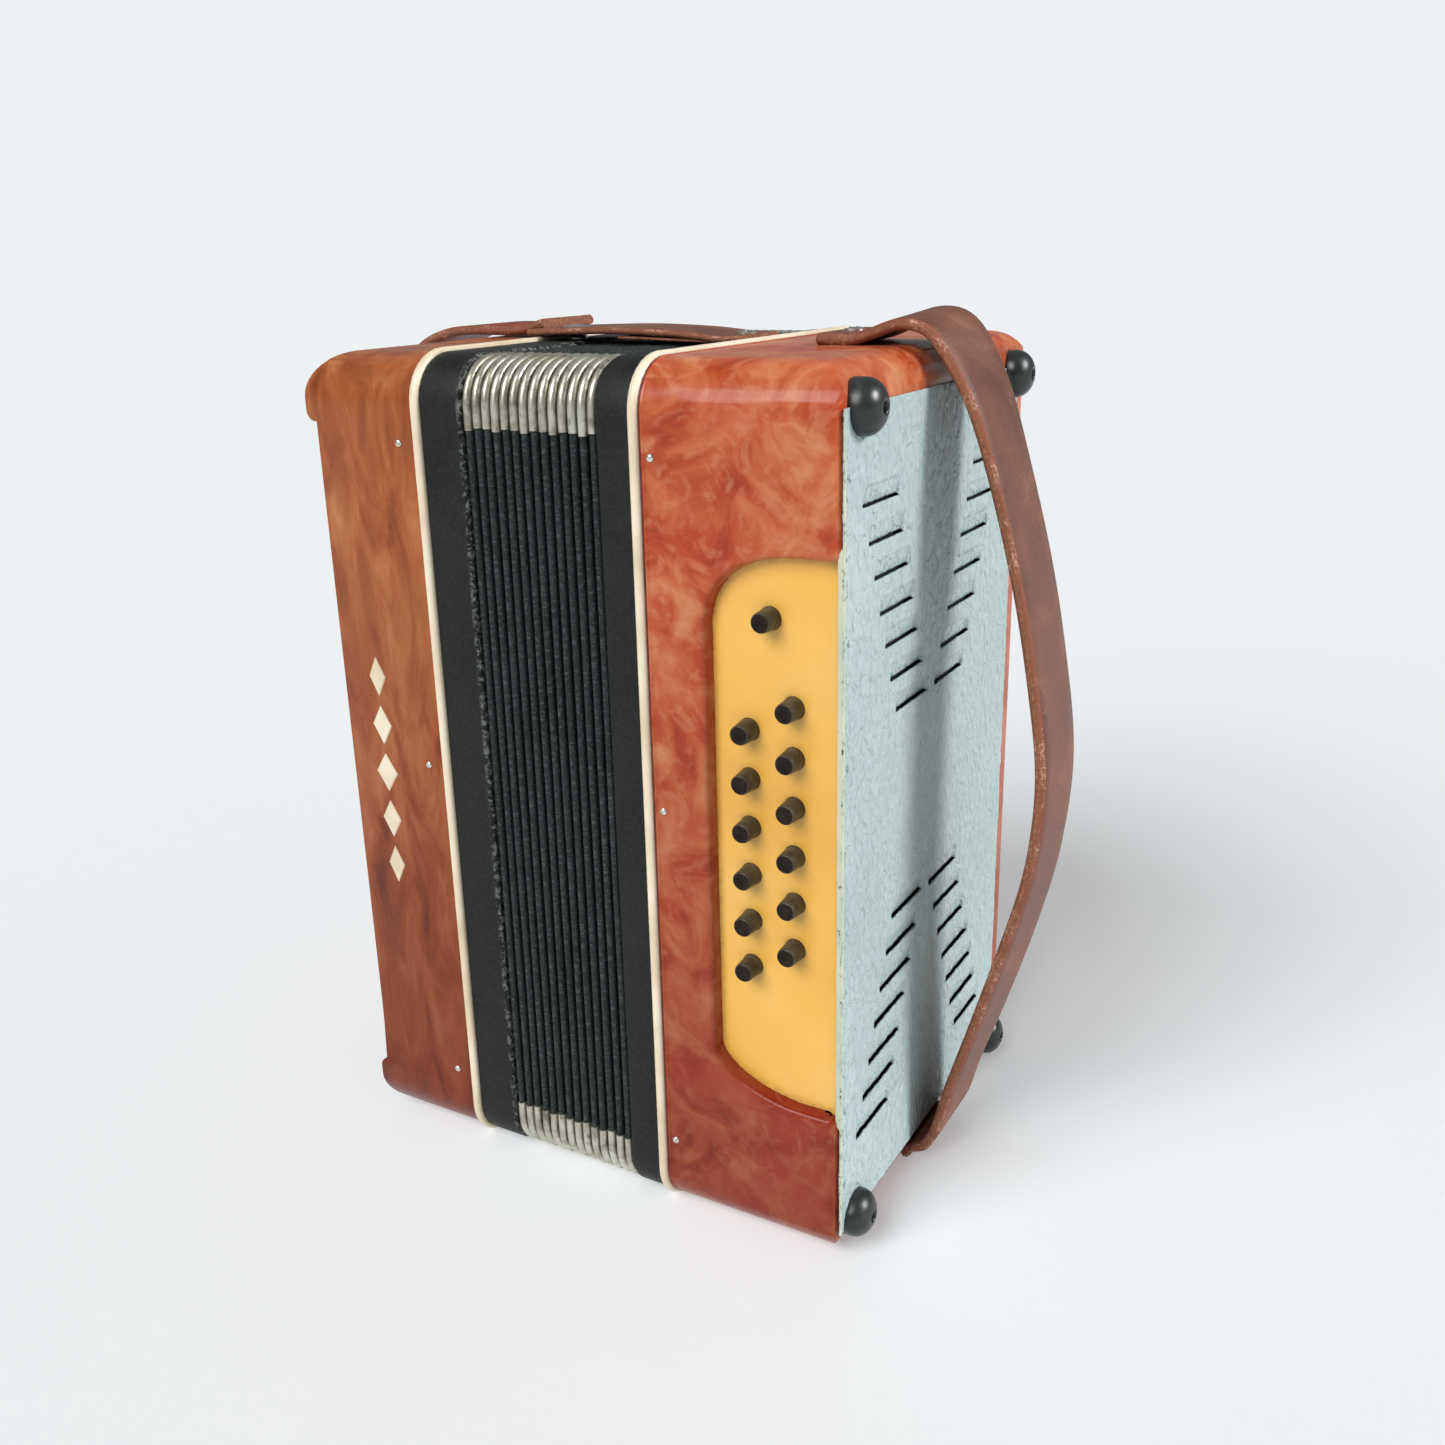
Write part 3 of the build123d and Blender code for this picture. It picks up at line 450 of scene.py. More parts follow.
def grille_paint():
    """Pale blue-grey paint over hammered sheet metal."""
    s = Shader("grille_paint", Specular_IOR_Level=0.5)
    hammered = s.noise(430, 3, 0.5, 0.9, s.stretch((1.0, 1.0, 0.55), (28, 0, 0)))
    cloud = s.noise(16, 4, 0.5)
    base = s.ramp(cloud, [(0.3, (0.38, 0.475, 0.475)), (0.55, (0.44, 0.54, 0.54)), (0.8, (0.50, 0.59, 0.59))])
    worn = s.level(s.noise(310, 6, 0.8, 0.5), 0.68, 0.74, 0.0, 0.6)
    base = s.blend(worn, base, (0.60, 0.68, 0.66))
    rim = s.level(s.axis("Y"), grille_low.y + 0.5 * MM, grille_low.y + 3.5 * MM, 0.14, 0.0)
    chipped = s.level(s.math("ADD", s.noise(650, 6, 0.8, 0.6), rim), 0.66, 0.69)
    s.colour(s.blend(chipped, base, (0.10, 0.075, 0.055)))
    s.rough(s.level(hammered, 0.35, 0.65, 0.34, 0.5))
    s.bump(hammered, 0.0022, 0.9)
    return s.material


def painted_edge_highlight():
    """The grille's folded edge: pale as a painted highlight, slightly yellow, with nicks."""
    s = Shader("painted_edge_highlight", Specular_IOR_Level=0.4)
    nicks = s.level(s.noise(380, 6, 0.75, 0.4), 0.60, 0.66)
    stops = [(0.3, (0.44, 0.50, 0.40)), (0.6, (0.62, 0.62, 0.47)), (0.8, (0.70, 0.72, 0.62))]
    # The pale tones are a painted highlight along the folded edge; the nicks darken it.
    tone = s.ramp(s.noise(40, 4), stops)
    s.colour(s.blend(nicks, tone, (0.16, 0.13, 0.08)))
    s.rough(0.4)
    s.bump(nicks, 0.0002, 0.4)
    return s.material


def leather(name="strap_leather", base=(0.175, 0.066, 0.040), pale=(0.30, 0.135, 0.09)):
    """Worn brown leather: grain, creases and rubbed patches."""
    s = Shader(name, Specular_IOR_Level=0.35)
    patches = s.noise(38, 6, 0.62, 0.8)
    grain = s.cells(1400)
    creases = s.noise(240, 5, 0.65, 1.2, s.stretch((1.0, 0.35, 1.0)))
    rubbed = s.level(creases, 0.62, 0.78, 0.0, 0.5)
    tone = s.ramp(patches, [(0.3, tuple(c * 0.62 for c in base)), (0.55, base), (0.8, pale)])
    s.colour(s.blend(rubbed, tone, (0.42, 0.21, 0.14)))
    s.rough(s.level(patches, 0.3, 0.7, 0.42, 0.6))
    s.bump(grain, 0.00025, 0.45)
    s.bump(creases, 0.0004, 0.35)
    return s.material


def leather_edge():
    """Raw cut edge of the leather."""
    s = Shader("leather_edge")
    fibres = s.noise(900, 5, 0.7)
    s.tones(fibres, (0.3, (0.12, 0.038, 0.018)), (0.5, (0.25, 0.085, 0.04)), (0.75, (0.42, 0.19, 0.11)))
    s.rough(0.75)
    s.bump(fibres, 0.0004, 0.6)
    return s.material


def leather_corner():
    """The strap's rubbed corners: brown, with a broken pale line that is partly wear and partly a painted
    highlight.
    """
    s = Shader("leather_corner", Specular_IOR_Level=0.3)
    broken = s.level(s.noise(95, 6, 0.75, 0.4), 0.50, 0.60)
    fine = s.level(s.noise(1300, 4, 0.7), 0.45, 0.62)
    # The pale line is partly wear and partly a painted highlight along the strap's edges.
    s.colour(s.blend(s.math("MULTIPLY", broken, fine), (0.23, 0.075, 0.038), (0.60, 0.33, 0.24)))
    s.rough(0.6)
    s.bump(fine, 0.0002, 0.4)
    return s.material


def rubber():
    """Black rubber with a soft shine and some dust."""
    s = Shader("foot_rubber", Specular_IOR_Level=0.55)
    dust = s.noise(120, 6, 0.7)
    s.tones(dust, (0.35, (0.008, 0.010, 0.011)), (0.62, (0.016, 0.019, 0.019)), (0.8, (0.05, 0.052, 0.05)))
    s.rough(s.level(dust, 0.3, 0.7, 0.22, 0.42))
    s.bump(s.noise(500, 3), 0.0001, 0.4)
    return s.material


def button_side():
    """Smoky brown button sides."""
    s = Shader("button_side", Specular_IOR_Level=0.3)
    cloud = s.noise(300, 5, 0.6)
    s.tones(cloud, (0.3, (0.035, 0.028, 0.018)), (0.6, (0.085, 0.068, 0.042)), (0.85, (0.15, 0.125, 0.085)))
    s.rough(0.32)
    return s.material


def button_top():
    """Near-black button tops."""
    s = Shader("button_plastic", Specular_IOR_Level=0.1)
    s.tones(s.noise(400, 4), (0.3, (0.010, 0.007, 0.005)), (0.7, (0.026, 0.018, 0.014)))
    s.rough(0.3)
    return s.material


def bright_metal():
    """Nail heads, screws and the snap."""
    s = Shader("nail_metal", Metallic=1.0)
    spots = s.noise(700, 5, 0.7)
    s.tones(spots, (0.3, (0.34, 0.30, 0.24)), (0.5, (0.78, 0.76, 0.70)), (0.8, (0.88, 0.86, 0.82)))
    s.rough(s.level(spots, 0.3, 0.7, 0.4, 0.2))
    return s.material


def inner_wood():
    """Bare spruce inside the casings."""
    s = Shader("inner_wood")
    rings = s.noise(60, 5, 0.6, 0.4, s.stretch((1.0, 1.0, 0.06)))
    s.tones(rings, (0.3, (0.36, 0.22, 0.11)), (0.6, (0.58, 0.41, 0.23)), (0.8, (0.66, 0.50, 0.31)))
    s.rough(0.62)
    s.bump(rings, 0.0003, 0.3)
    return s.material


def brass():
    """Reed plates."""
    s = Shader("reed_brass", Metallic=1.0)
    s.tones(s.noise(200, 5, 0.6), (0.3, (0.42, 0.28, 0.11)), (0.7, (0.75, 0.56, 0.27)))
    s.rough(s.level(s.noise(500, 4), 0.3, 0.7, 0.28, 0.45))
    return s.material


def lever_metal():
    """Drawn aluminium levers and axles."""
    s = Shader("lever_metal", Metallic=1.0)
    s.tones(s.noise(350, 4, 0.6), (0.3, (0.42, 0.42, 0.41)), (0.7, (0.66, 0.66, 0.65)))
    s.rough(s.level(s.noise(900, 3), 0.3, 0.7, 0.3, 0.5))
    return s.material


def seam_red():
    """Dark red seam where the celluloid laps under the binding."""
    s = Shader("seam_red")
    s.tones(s.noise(300, 4), (0.3, (0.06, 0.008, 0.006)), (0.7, (0.20, 0.035, 0.025)))
    s.rough(0.45)
    return s.material


def black_void():
    """Soft black lining behind the grille."""
    # Painted shade: this black stands for the dark inside of the casing behind the grille.
    s = Shader("painted_shade_lining")
    s.tones(s.noise(800, 3), (0.3, (0.004, 0.004, 0.004)), (0.7, (0.012, 0.012, 0.012)))
    s.rough(0.9)
    return s.material


PEARL_RED = pearl_red()
PEARL_BROWN = pearl_brown()
CREAM = cream()
BLACK = black_covering()
CLOTH = bellows_cloth()
NICKEL = corner_metal()
YELLOW = yellow_plate()
PAINT = grille_paint()
EDGE_HIGHLIGHT = painted_edge_highlight()
LEATHER = leather()
LEATHER_EDGE = leather_edge()
LEATHER_CORNER = leather_corner()
RED_LEATHER = leather("hand_leather", (0.24, 0.045, 0.018), (0.36, 0.10, 0.05))
RUBBER = rubber()
BUTTON_SIDE = button_side()
BUTTON_TOP = button_top()
METAL = bright_metal()
WOOD = inner_wood()
BRASS = brass()
LEVERS = lever_metal()
SEAM = seam_red()
LINING = black_void()

SLOT_MATERIALS = {
    "pearl_red": PEARL_RED,
    "pearl_brown": PEARL_BROWN,
    "cream_binding": CREAM,
    "black_frame": BLACK,
    "bellows_cloth": CLOTH,
    "corner_metal": NICKEL,
    "yellow_plate": YELLOW,
    "grille_paint": PAINT,
    "strap_leather": LEATHER,
    "foot_rubber": RUBBER,
    "button_plastic": BUTTON_TOP,
    "nail_metal": METAL,
    "inner_wood": WOOD,
    "reed_brass": BRASS,
    "lever_metal": LEVERS,
}


def finish_cad_nodes():
    """Every CAD node gets its slot's material, in case it stays visible."""
    for subpart in frame["record"]["subparts"]:
        node = NODES[subpart["node"]]
        node.data.materials.clear()
        node.data.materials.append(SLOT_MATERIALS[subpart["material_slot"]])


finish_cad_nodes()


def place(piece, body, slot, *nodes):
    """Rides a piece on a body and hides the CAD nodes that it stands for; the slot is not used."""
    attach(piece, body)
    if nodes:
        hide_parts(*nodes)
    return piece


# ---------------------------------------------------------------- casings
PLATE_DEPTH = plate_low.y - FRONT
RECESS_X = plate_low.x + 1 * MM
RECESS_LOW = plate_low.z + 1 * MM
RECESS_HIGH = plate_high.z - 1 * MM
FRONT_RADIUS = 3.5 * MM
LIP = 1.6 * MM
PATCH_MARGIN = 7 * MM
PATCH_START = RECESS_X - PATCH_MARGIN
PATCH_LOW = RECESS_LOW - PATCH_MARGIN
PATCH_HIGH = RECESS_HIGH + PATCH_MARGIN
PATCH_COLUMN = 0.45 * MM
PATCH_ROWS = 440
FRONT_SKIN = 5.4 * MM
BEHIND_PLATE = 0.9 * MM


def bezier(points, steps=14):
    """Points on a cubic curve."""
    result = []
    for step in range(steps + 1):
        t = step / steps
        weights = ((1 - t) ** 3, 3 * t * (1 - t) ** 2, 3 * t * t * (1 - t), t**3)
        result.append(sum((Vector(p) * w for p, w in zip(points, weights)), Vector((0, 0))))
    return result


def recess_outline(end_x):
    """The keyboard recess's left side in X and Z, from its lower right to its upper right."""
    curve_x = RECESS_X + 29 * MM
    low = bezier(
        [
            (curve_x, RECESS_LOW),
            (RECESS_X + 17 * MM, RECESS_LOW),
            (RECESS_X, RECESS_LOW + 6.6 * MM),
            (RECESS_X, RECESS_LOW + 15.6 * MM),
        ]
    )
    high = bezier(
        [
            (RECESS_X, RECESS_HIGH - 22 * MM),
            (RECESS_X, RECESS_HIGH - 7 * MM),
            (RECESS_X + 12 * MM, RECESS_HIGH),
            (curve_x, RECESS_HIGH),
        ]
    )
    return [Vector((end_x, RECESS_LOW))] + low + high + [Vector((end_x, RECESS_HIGH))]


def inside_distance(x, z, line):
    """Signed distance from a polyline that opens towards +X: positive inside it."""
    best = np.full(x.shape, 1e9)
    crossings = np.zeros(x.shape, int)
    for a, b in zip(line, line[1:]):
        dx, dz = b.x - a.x, b.y - a.y
        t = np.clip(((x - a.x) * dx + (z - a.y) * dz) / max(dx * dx + dz * dz, 1e-18), 0, 1)
        best = np.minimum(best, np.hypot(x - a.x - t * dx, z - a.y - t * dz))
        if a.y != b.y:
            level = (z - a.y) / dz
            hit = (level >= 0) & (level < 1) & (a.x + level * dx < x)
            crossings += hit
    return np.where(crossings % 2 == 1, best, -best)


def treble_front():
    """The front face round the keyboard, a fine sheet whose edge rolls over into the recess."""
    flat_end = casing_high.x - FRONT_RADIUS
    arc = FRONT_RADIUS * math.pi / 2
    along = list(np.arange(PATCH_START, flat_end - 0.2 * MM, PATCH_COLUMN))
    along += [flat_end + arc * k / 8 for k in range(9)]
    heights = np.linspace(PATCH_LOW, PATCH_HIGH, PATCH_ROWS)
    s, z = np.meshgrid(np.array(along), heights, indexing="ij")
    distance = inside_distance(s, z, recess_outline(flat_end + 40 * MM))
    turned = np.clip((distance + LIP * 0.55) / LIP, 0, 1)
    depth = LIP * (1 - np.sqrt(np.maximum(0, 1 - turned**2)))
    depth += np.clip((distance - LIP * 0.45) / (0.25 * MM), 0, 1) * (PLATE_DEPTH + BEHIND_PLATE - LIP)
    angle = np.clip((s - flat_end) / FRONT_RADIUS, 0, math.pi / 2)
    radius = FRONT_RADIUS - depth
    x = np.where(s > flat_end, flat_end + radius * np.sin(angle), s)
    y = np.where(s > flat_end, FRONT + FRONT_RADIUS - radius * np.cos(angle), FRONT + depth)
    verts = np.stack([x, y, z], axis=-1).reshape(-1, 3)
    shown = (depth < PLATE_DEPTH + 0.2 * MM).reshape(-1).tolist()
    quads = grid_faces(len(along), PATCH_ROWS)
    faces = [quad for quad in quads if any(shown[corner] for corner in quad)]
    sheet = make("treble_front_sheet", verts.tolist(), faces, PEARL_RED, 75)
    with edited(sheet) as bm:
        drop_loose(bm)
        bm.faces.ensure_lookup_table()
        if bm.faces[0].normal.y > 0:
            bmesh.ops.reverse_faces(bm, faces=bm.faces)
    return sheet


def treble_shell():
    """The rest of the treble casing, with an opening where the front sheet goes."""
    mesh = NODES["treble_casing"].data.copy()
    mesh.materials.clear()
    mesh.materials.append(PEARL_RED)
    obj = add_object("treble_casing_rest", mesh)
    weld(obj, 2e-6)
    cuts = (((PATCH_START, 0, 0), (1, 0, 0)), ((0, 0, PATCH_LOW), (0, 0, 1)), ((0, 0, PATCH_HIGH), (0, 0, 1)))
    with edited(obj) as bm:
        for spot, normal in cuts:
            geom = list(bm.verts) + list(bm.edges) + list(bm.faces)
            bmesh.ops.bisect_plane(bm, geom=geom, dist=1e-7, plane_co=spot, plane_no=normal)
        gone = []
        for face in bm.faces:
            centre = face.calc_center_median()
            beside_keys = centre.x > PATCH_START and PATCH_LOW < centre.z < PATCH_HIGH
            if beside_keys and all(v.co.y < FRONT + FRONT_SKIN for v in face.verts):
                gone.append(face)
        bmesh.ops.delete(bm, geom=gone, context="FACES")
    tidy_normals(obj, 35)
    return obj


RIB_ROUND = 13 * MM
RIB_TALL = 20 * MM
RIB_STEP = 3.7 * MM
RIB_TURN = 3.2 * MM


def bass_shell():
    """The bass casing: its rounded section, the wrapped-over ribs and the end wall between them."""
    rib = bass_low.x
    wall = rib + RIB_STEP
    upper = [(bass_high.x, HEIGHT)]
    for step in range(13):
        angle = math.radians(90 * step / 12)
        x = rib + RIB_ROUND - RIB_ROUND * math.sin(angle)
        upper.append((x, HEIGHT - RIB_ROUND + RIB_ROUND * math.cos(angle)))
    foot = HEIGHT - RIB_TALL
    for step in range(6):
        angle = math.radians(90 * step / 5)
        across = RIB_TURN * (1 - math.cos(angle))
        down = RIB_TURN * (1 - math.sin(angle))
        upper.append((rib + across, foot + down))
    upper.append((wall, foot))
    middle = [(wall, foot + (HEIGHT - 2 * foot) * k / 10) for k in range(1, 10)]
    lower = [(x, HEIGHT - z) for x, z in reversed(upper)]
    profile = upper + middle + lower
    columns = 21
    verts = []

    def half_width(z):
        over = max(CORNER - z, z - (HEIGHT - CORNER), 0.0)
        return DEPTH / 2 - CORNER + math.sqrt(max(0.0, CORNER**2 - over**2))

    for x, z in profile:
        half = half_width(z)
        for k in range(columns):
            verts.append((x, -half + 2 * half * k / (columns - 1), z))
    faces = grid_faces(len(profile), columns)
    for side in (0, columns - 1):
        first = len(verts)
        for i, (x, z) in enumerate(profile):
            verts.append((bass_high.x, verts[i * columns + side][1], z))
        for i in range(1, len(profile) - 2):
            if abs(profile[i][1] - profile[i + 1][1]) > 1e-7:
                a = i * columns + side
                b = (i + 1) * columns + side
                faces.append((a, b, first + i + 1, first + i))
    shell = make("bass_casing_shell", verts, faces, PEARL_BROWN, 35)
    weld(shell, 1e-6)
    with edited(shell) as bm:
        drop_loose(bm)
    bevel = shell.modifiers.new("eased_edges", "BEVEL")
    bevel.width = 1.1 * MM
    bevel.segments = 3
    bevel.limit_method = "ANGLE"
    bevel.angle_limit = math.radians(50)
    apply_modifiers(shell)
    tidy_normals(shell, 35)
    return shell


def casings():
    """Both casings, each riding on its own side of the bellows."""
    place(treble_shell(), "treble_side", "pearl_red", "treble_casing")
    place(treble_front(), "treble_side", "pearl_red")
    place(bass_shell(), "bass_side", "pearl_brown", "bass_casing")


casings()

# ---------------------------------------------------------------- bindings and bellows frames
def bead_profile(x_from, x_to, proud=1.2 * MM, under=2.0 * MM, steps=8):
    """Half-round bead between two X, standing proud of the section."""
    middle = (x_from + x_to) / 2
    half = (x_to - x_from) / 2
    profile = [(x_from, -under)]
    for step in range(steps + 1):
        angle = math.pi - math.pi * step / steps
        offset = proud * math.sin(angle) ** 0.8 if 0 < step < steps else 0.0
        profile.append((middle + half * math.cos(angle), offset))
    profile.append((x_to, -under))
    return profile


def band_profile(x_from, x_to, soft_from, soft_to, under=9 * MM, steps=5):
    """A flat band with rounded shoulders, soft_from and soft_to being their radii."""
    profile = [(x_from, -under)]
    for step in range(steps + 1):
        angle = math.radians(180 - 90 * step / steps)
        profile.append((x_from + soft_from * (1 + math.cos(angle)), soft_from * (math.sin(angle) - 1)))
    for step in range(steps + 1):
        angle = math.radians(90 - 90 * step / steps)
        profile.append((x_to - soft_to * (1 - math.cos(angle)), soft_to * (math.sin(angle) - 1)))
    profile.append((x_to, -under))
    return profile


def ridge_over(start, stops):
    """A low profile from (distance from a start X, height) in mm."""
    return [(start + along * MM, height * MM) for along, height in stops]


def bands():
    """The cream beads, the seam beside the treble one, and the black bellows frames."""
    treble_bead = sweep_ring("treble_binding_bead", bead_profile(treble_frame_high.x, casing_low.x), CREAM)
    place(treble_bead, "treble_side", "cream_binding", "treble_binding")
    bass_bead = sweep_ring("bass_binding_bead", bead_profile(bass_high.x, bass_frame_low.x), CREAM)
    place(bass_bead, "bass_side", "cream_binding", "bass_binding")
    edge = casing_low.x
    seam_profile = ridge_over(edge, ((0.0, 0.0), (0.1, 0.14), (0.45, 0.14), (0.55, 0.0)))
    place(sweep_ring("treble_casing_seam", seam_profile, SEAM), "treble_side", "pearl_red")
    lap_profile = ridge_over(edge, ((0.55, 0.0), (0.8, 0.22), (1.5, 0.2), (1.8, 0.0)))
    place(sweep_ring("treble_casing_lap", lap_profile, PEARL_RED), "treble_side", "pearl_red")
    treble_band = band_profile(treble_frame_low.x, treble_frame_high.x, 1.3 * MM, 0.5 * MM)
    treble_piece = sweep_ring("treble_frame_band", treble_band, BLACK)
    place(treble_piece, "treble_side", "black_frame", "treble_bellows_frame")
    bass_band = band_profile(bass_frame_low.x, bass_frame_high.x, 0.5 * MM, 1.3 * MM)
    place(sweep_ring("bass_frame_band", bass_band, BLACK), "bass_side", "black_frame", "bass_bellows_frame")


bands()

# ---------------------------------------------------------------- bellows
RIDGE_HALF = 1.16 * MM
RIDGE_TOP = -0.75 * MM
FLANK_TOP = -3.0 * MM
VALLEY = -14.0 * MM
VALLEY_HALF = 0.05 * MM
CAP_HALF = 1.3 * MM
CAP_TOP = -0.3 * MM
CAP_DEPTH = 2.6 * MM
CAP_REACH = 20 * MM


def share_at(x):
    """How much of the bellows' travel a point at rest place X follows: 0 treble, 1 bass."""
    return min(1.0, max(0.0, (BELLOWS_END - x) / (BELLOWS_END - BELLOWS_START)))


def carry(piece):
    """Bakes a bellows piece's transform into its mesh."""
    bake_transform(piece)


def ridge_profile(middle, half, top, depth, steps=6):
    """A rounded ridge about a middle X, its crown at top and its feet at depth."""
    profile = [(middle - half, -depth)]
    for step in range(steps + 1):
        angle = math.pi - math.pi * step / steps
        profile.append((middle + half * math.cos(angle), top - half * (1 - math.sin(angle))))
    profile.append((middle + half, -depth))
    return profile


def corner_points(index, reach, extra):
    """The stretch of the section's outline round one corner, reach measured from the sides."""
    half_y = DEPTH / 2
    centre = Vector((half_y if index in (0, 3) else -half_y, HEIGHT if index in (0, 1) else 0))
    start_angle = 90 * index
    inward = -CORNER if index in (0, 1) else CORNER
    arc_centre = Vector((centre.x - math.copysign(CORNER, centre.x), centre.y + inward))
    first = direction(start_angle)
    last = Vector((-first.y, first.x))
    run = reach - CORNER + extra
    points = [(arc_centre + first * CORNER - last * run, first)]
    for step in range(10):
        normal = direction(start_angle + 90 * step / 9)
        points.append((arc_centre + normal * CORNER, normal))
    points.append((arc_centre + last * CORNER - first * run, last))
    return points


def bellows():
    """Ridges with their corner caps, and the cloth valleys between them."""
    centres = [BELLOWS_START + (fold + 0.5) * PITCH for fold in range(FOLDS)]
    shares = [share_at(x) for x in centres]
    for fold, (x, share) in enumerate(zip(centres, shares)):
        profile = ridge_profile(x, RIDGE_HALF, RIDGE_TOP, -FLANK_TOP + 0.2 * MM)
        ridge = sweep_ring(f"fold_ridge_{fold:02d}", profile, CLOTH, wobble=0.07 * MM, seed=fold)
        carry(ridge)
        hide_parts("bellows_folds")
        caps = []
        for corner in range(4):
            extra = 0.5 * MM * math.sin(fold * 2.1 + corner * 1.7)
            cap_profile = ridge_profile(x, CAP_HALF, CAP_TOP, CAP_DEPTH)
            points = corner_points(corner, CAP_REACH, extra)
            caps.append(sweep_ring(f"fold_cap_{fold:02d}_{corner}", cap_profile, NICKEL, points))
        joined = join(f"fold_caps_{fold:02d}", caps)
        carry(joined)
        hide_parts("bellows_corners")
    edges = [(BELLOWS_START, 1.0)]
    for x, share in zip(centres, shares):
        edges += [(x - RIDGE_HALF, share), (x + RIDGE_HALF, share)]
    edges.append((BELLOWS_END, 0.0))
    for number in range(0, len(edges), 2):
        (x_from, share_from), (x_to, share_to) = edges[number], edges[number + 1]
        middle = (x_from + x_to) / 2
        crease = [(middle - VALLEY_HALF, VALLEY), (middle + VALLEY_HALF, VALLEY)]
        profile = [(x_from, FLANK_TOP)] + crease + [(x_to, FLANK_TOP)]
        if number == 0:
            profile = [(x_from, VALLEY), (x_to, FLANK_TOP)]
        if number == len(edges) - 2:
            profile = [(x_from, FLANK_TOP), (x_to, VALLEY)]
        flank = sweep_ring(f"fold_valley_{number // 2:02d}", profile, CLOTH)
        carry(flank)


bellows()

# ---------------------------------------------------------------- end grille
LOUVRE_LENGTH = 24.5 * MM
LOUVRE_HEIGHT = 5.0 * MM
LOUVRE_SINK = 1.35 * MM
LOUVRE_EASE = 1.0 * MM
LOUVRE_BRIDGE = 0.3 * MM
SLIT = 0.3 * MM
GRILLE_STEP = 0.5 * MM
SHEET_THICKNESS = 0.5 * MM
HAMMER_DEPTH = 0.26 * MM
HAMMER_SLANT = (0.94, 0.34)
EDGE_STEPS = 120
LINING_SINK = 3.2 * MM
LINING_DEPTHS = (11 * MM, 123 * MM)
LINING_HEIGHTS = (21 * MM, 239 * MM)
# Each arm of louvres: depth and height of its first slot, then the step to the next, in mm.
SLOT_ARMS = (
    ((13.0, 223.0), (4.0, -10.25)),
    ((94.0, 223.0), (-4.6, -10.25)),
    ((37.0, 97.0), (-4.05, -10.25)),
    ((66.2, 95.7), (4.6, -10.9)),
)
SLOTS_PER_ARM = 7


def louvres():
    """Front end in Y and slot height in Z of every louvre."""
    for (depth, height), (depth_step, height_step) in SLOT_ARMS:
        for slot in range(SLOTS_PER_ARM):
            yield FRONT + (depth + slot * depth_step) * MM, (height + slot * height_step) * MM


def value_noise(u, v, seed):
    """Smooth noise from 0 to 1 on a grid of whole numbers, the same each run."""
    low_u, low_v = np.floor(u).astype(int), np.floor(v).astype(int)
    share_u, share_v = u - low_u, v - low_v
    share_u = share_u * share_u * (3 - 2 * share_u)
    share_v = share_v * share_v * (3 - 2 * share_v)
    table = np.random.default_rng(seed).random((256, 256))

    def corner(i, j):
        return table[(low_u + i) % 256, (low_v + j) % 256]

    lower = corner(0, 0) * (1 - share_u) + corner(1, 0) * share_u
    upper = corner(0, 1) * (1 - share_u) + corner(1, 1) * share_u
    return lower * (1 - share_v) + upper * share_v


def grille():
    """The hammered sheet as a fine grid, its louvres pressed inwards above their slits."""
    count_y = round((grille_high.y - grille_low.y) / GRILLE_STEP)
    count_z = round((grille_high.z - grille_low.z) / GRILLE_STEP)
    ys = np.linspace(grille_low.y, grille_high.y, count_y + 1)
    zs = np.linspace(grille_low.z, grille_high.z, count_z + 1)
    grid_y, grid_z = np.meshgrid(ys, zs, indexing="ij")
    sink = np.zeros_like(grid_y)
    cut = np.zeros((count_y, count_z), bool)
    for start_y, slot_z in louvres():
        row = int(np.searchsorted(zs, slot_z + SLIT))
        end_y = start_y + LOUVRE_LENGTH
        along = np.clip(np.minimum(grid_y - start_y, end_y - grid_y) / LOUVRE_EASE, 0, 1)
        inside = (grid_z >= zs[row] - 1e-9) & (grid_z < zs[row] + LOUVRE_HEIGHT)
        up = inside * (0.25 + 0.75 * np.clip(1 - (grid_z - zs[row]) / LOUVRE_HEIGHT, 0, 1))
        sink = np.maximum(sink, along * up * LOUVRE_SINK)
        columns = (ys[:-1] > start_y + LOUVRE_BRIDGE) & (ys[1:] < end_y - LOUVRE_BRIDGE)
        cut[columns, row - 1] = True
    straight, lean = HAMMER_SLANT
    slanted = grid_y * straight + grid_z * lean
    upright = grid_z * straight - grid_y * lean
    hammer = value_noise(slanted / (1.1 * MM), upright / (2.1 * MM) + 60, 3)
    hammer += 0.5 * value_noise(slanted / (2.6 * MM), upright / (3.4 * MM) + 90, 4)
    x = GRILLE_FACE - sink - HAMMER_DEPTH * hammer
    verts = np.stack([x, grid_y, grid_z], axis=-1).reshape(-1, 3)
    faces = []
    width = count_z + 1
    for i in range(count_y):
        for j in range(count_z):
            if not cut[i, j]:
                a = i * width + j
                faces.append((a, a + width, a + width + 1, a + 1))
    sheet = make("grille_sheet", verts.tolist(), faces, PAINT, 50)
    solid = sheet.modifiers.new("thickness", "SOLIDIFY")
    solid.thickness = SHEET_THICKNESS
    solid.offset = -1
    apply_modifiers(sheet)
    place(sheet, "treble_side", "grille_paint", "end_grille")


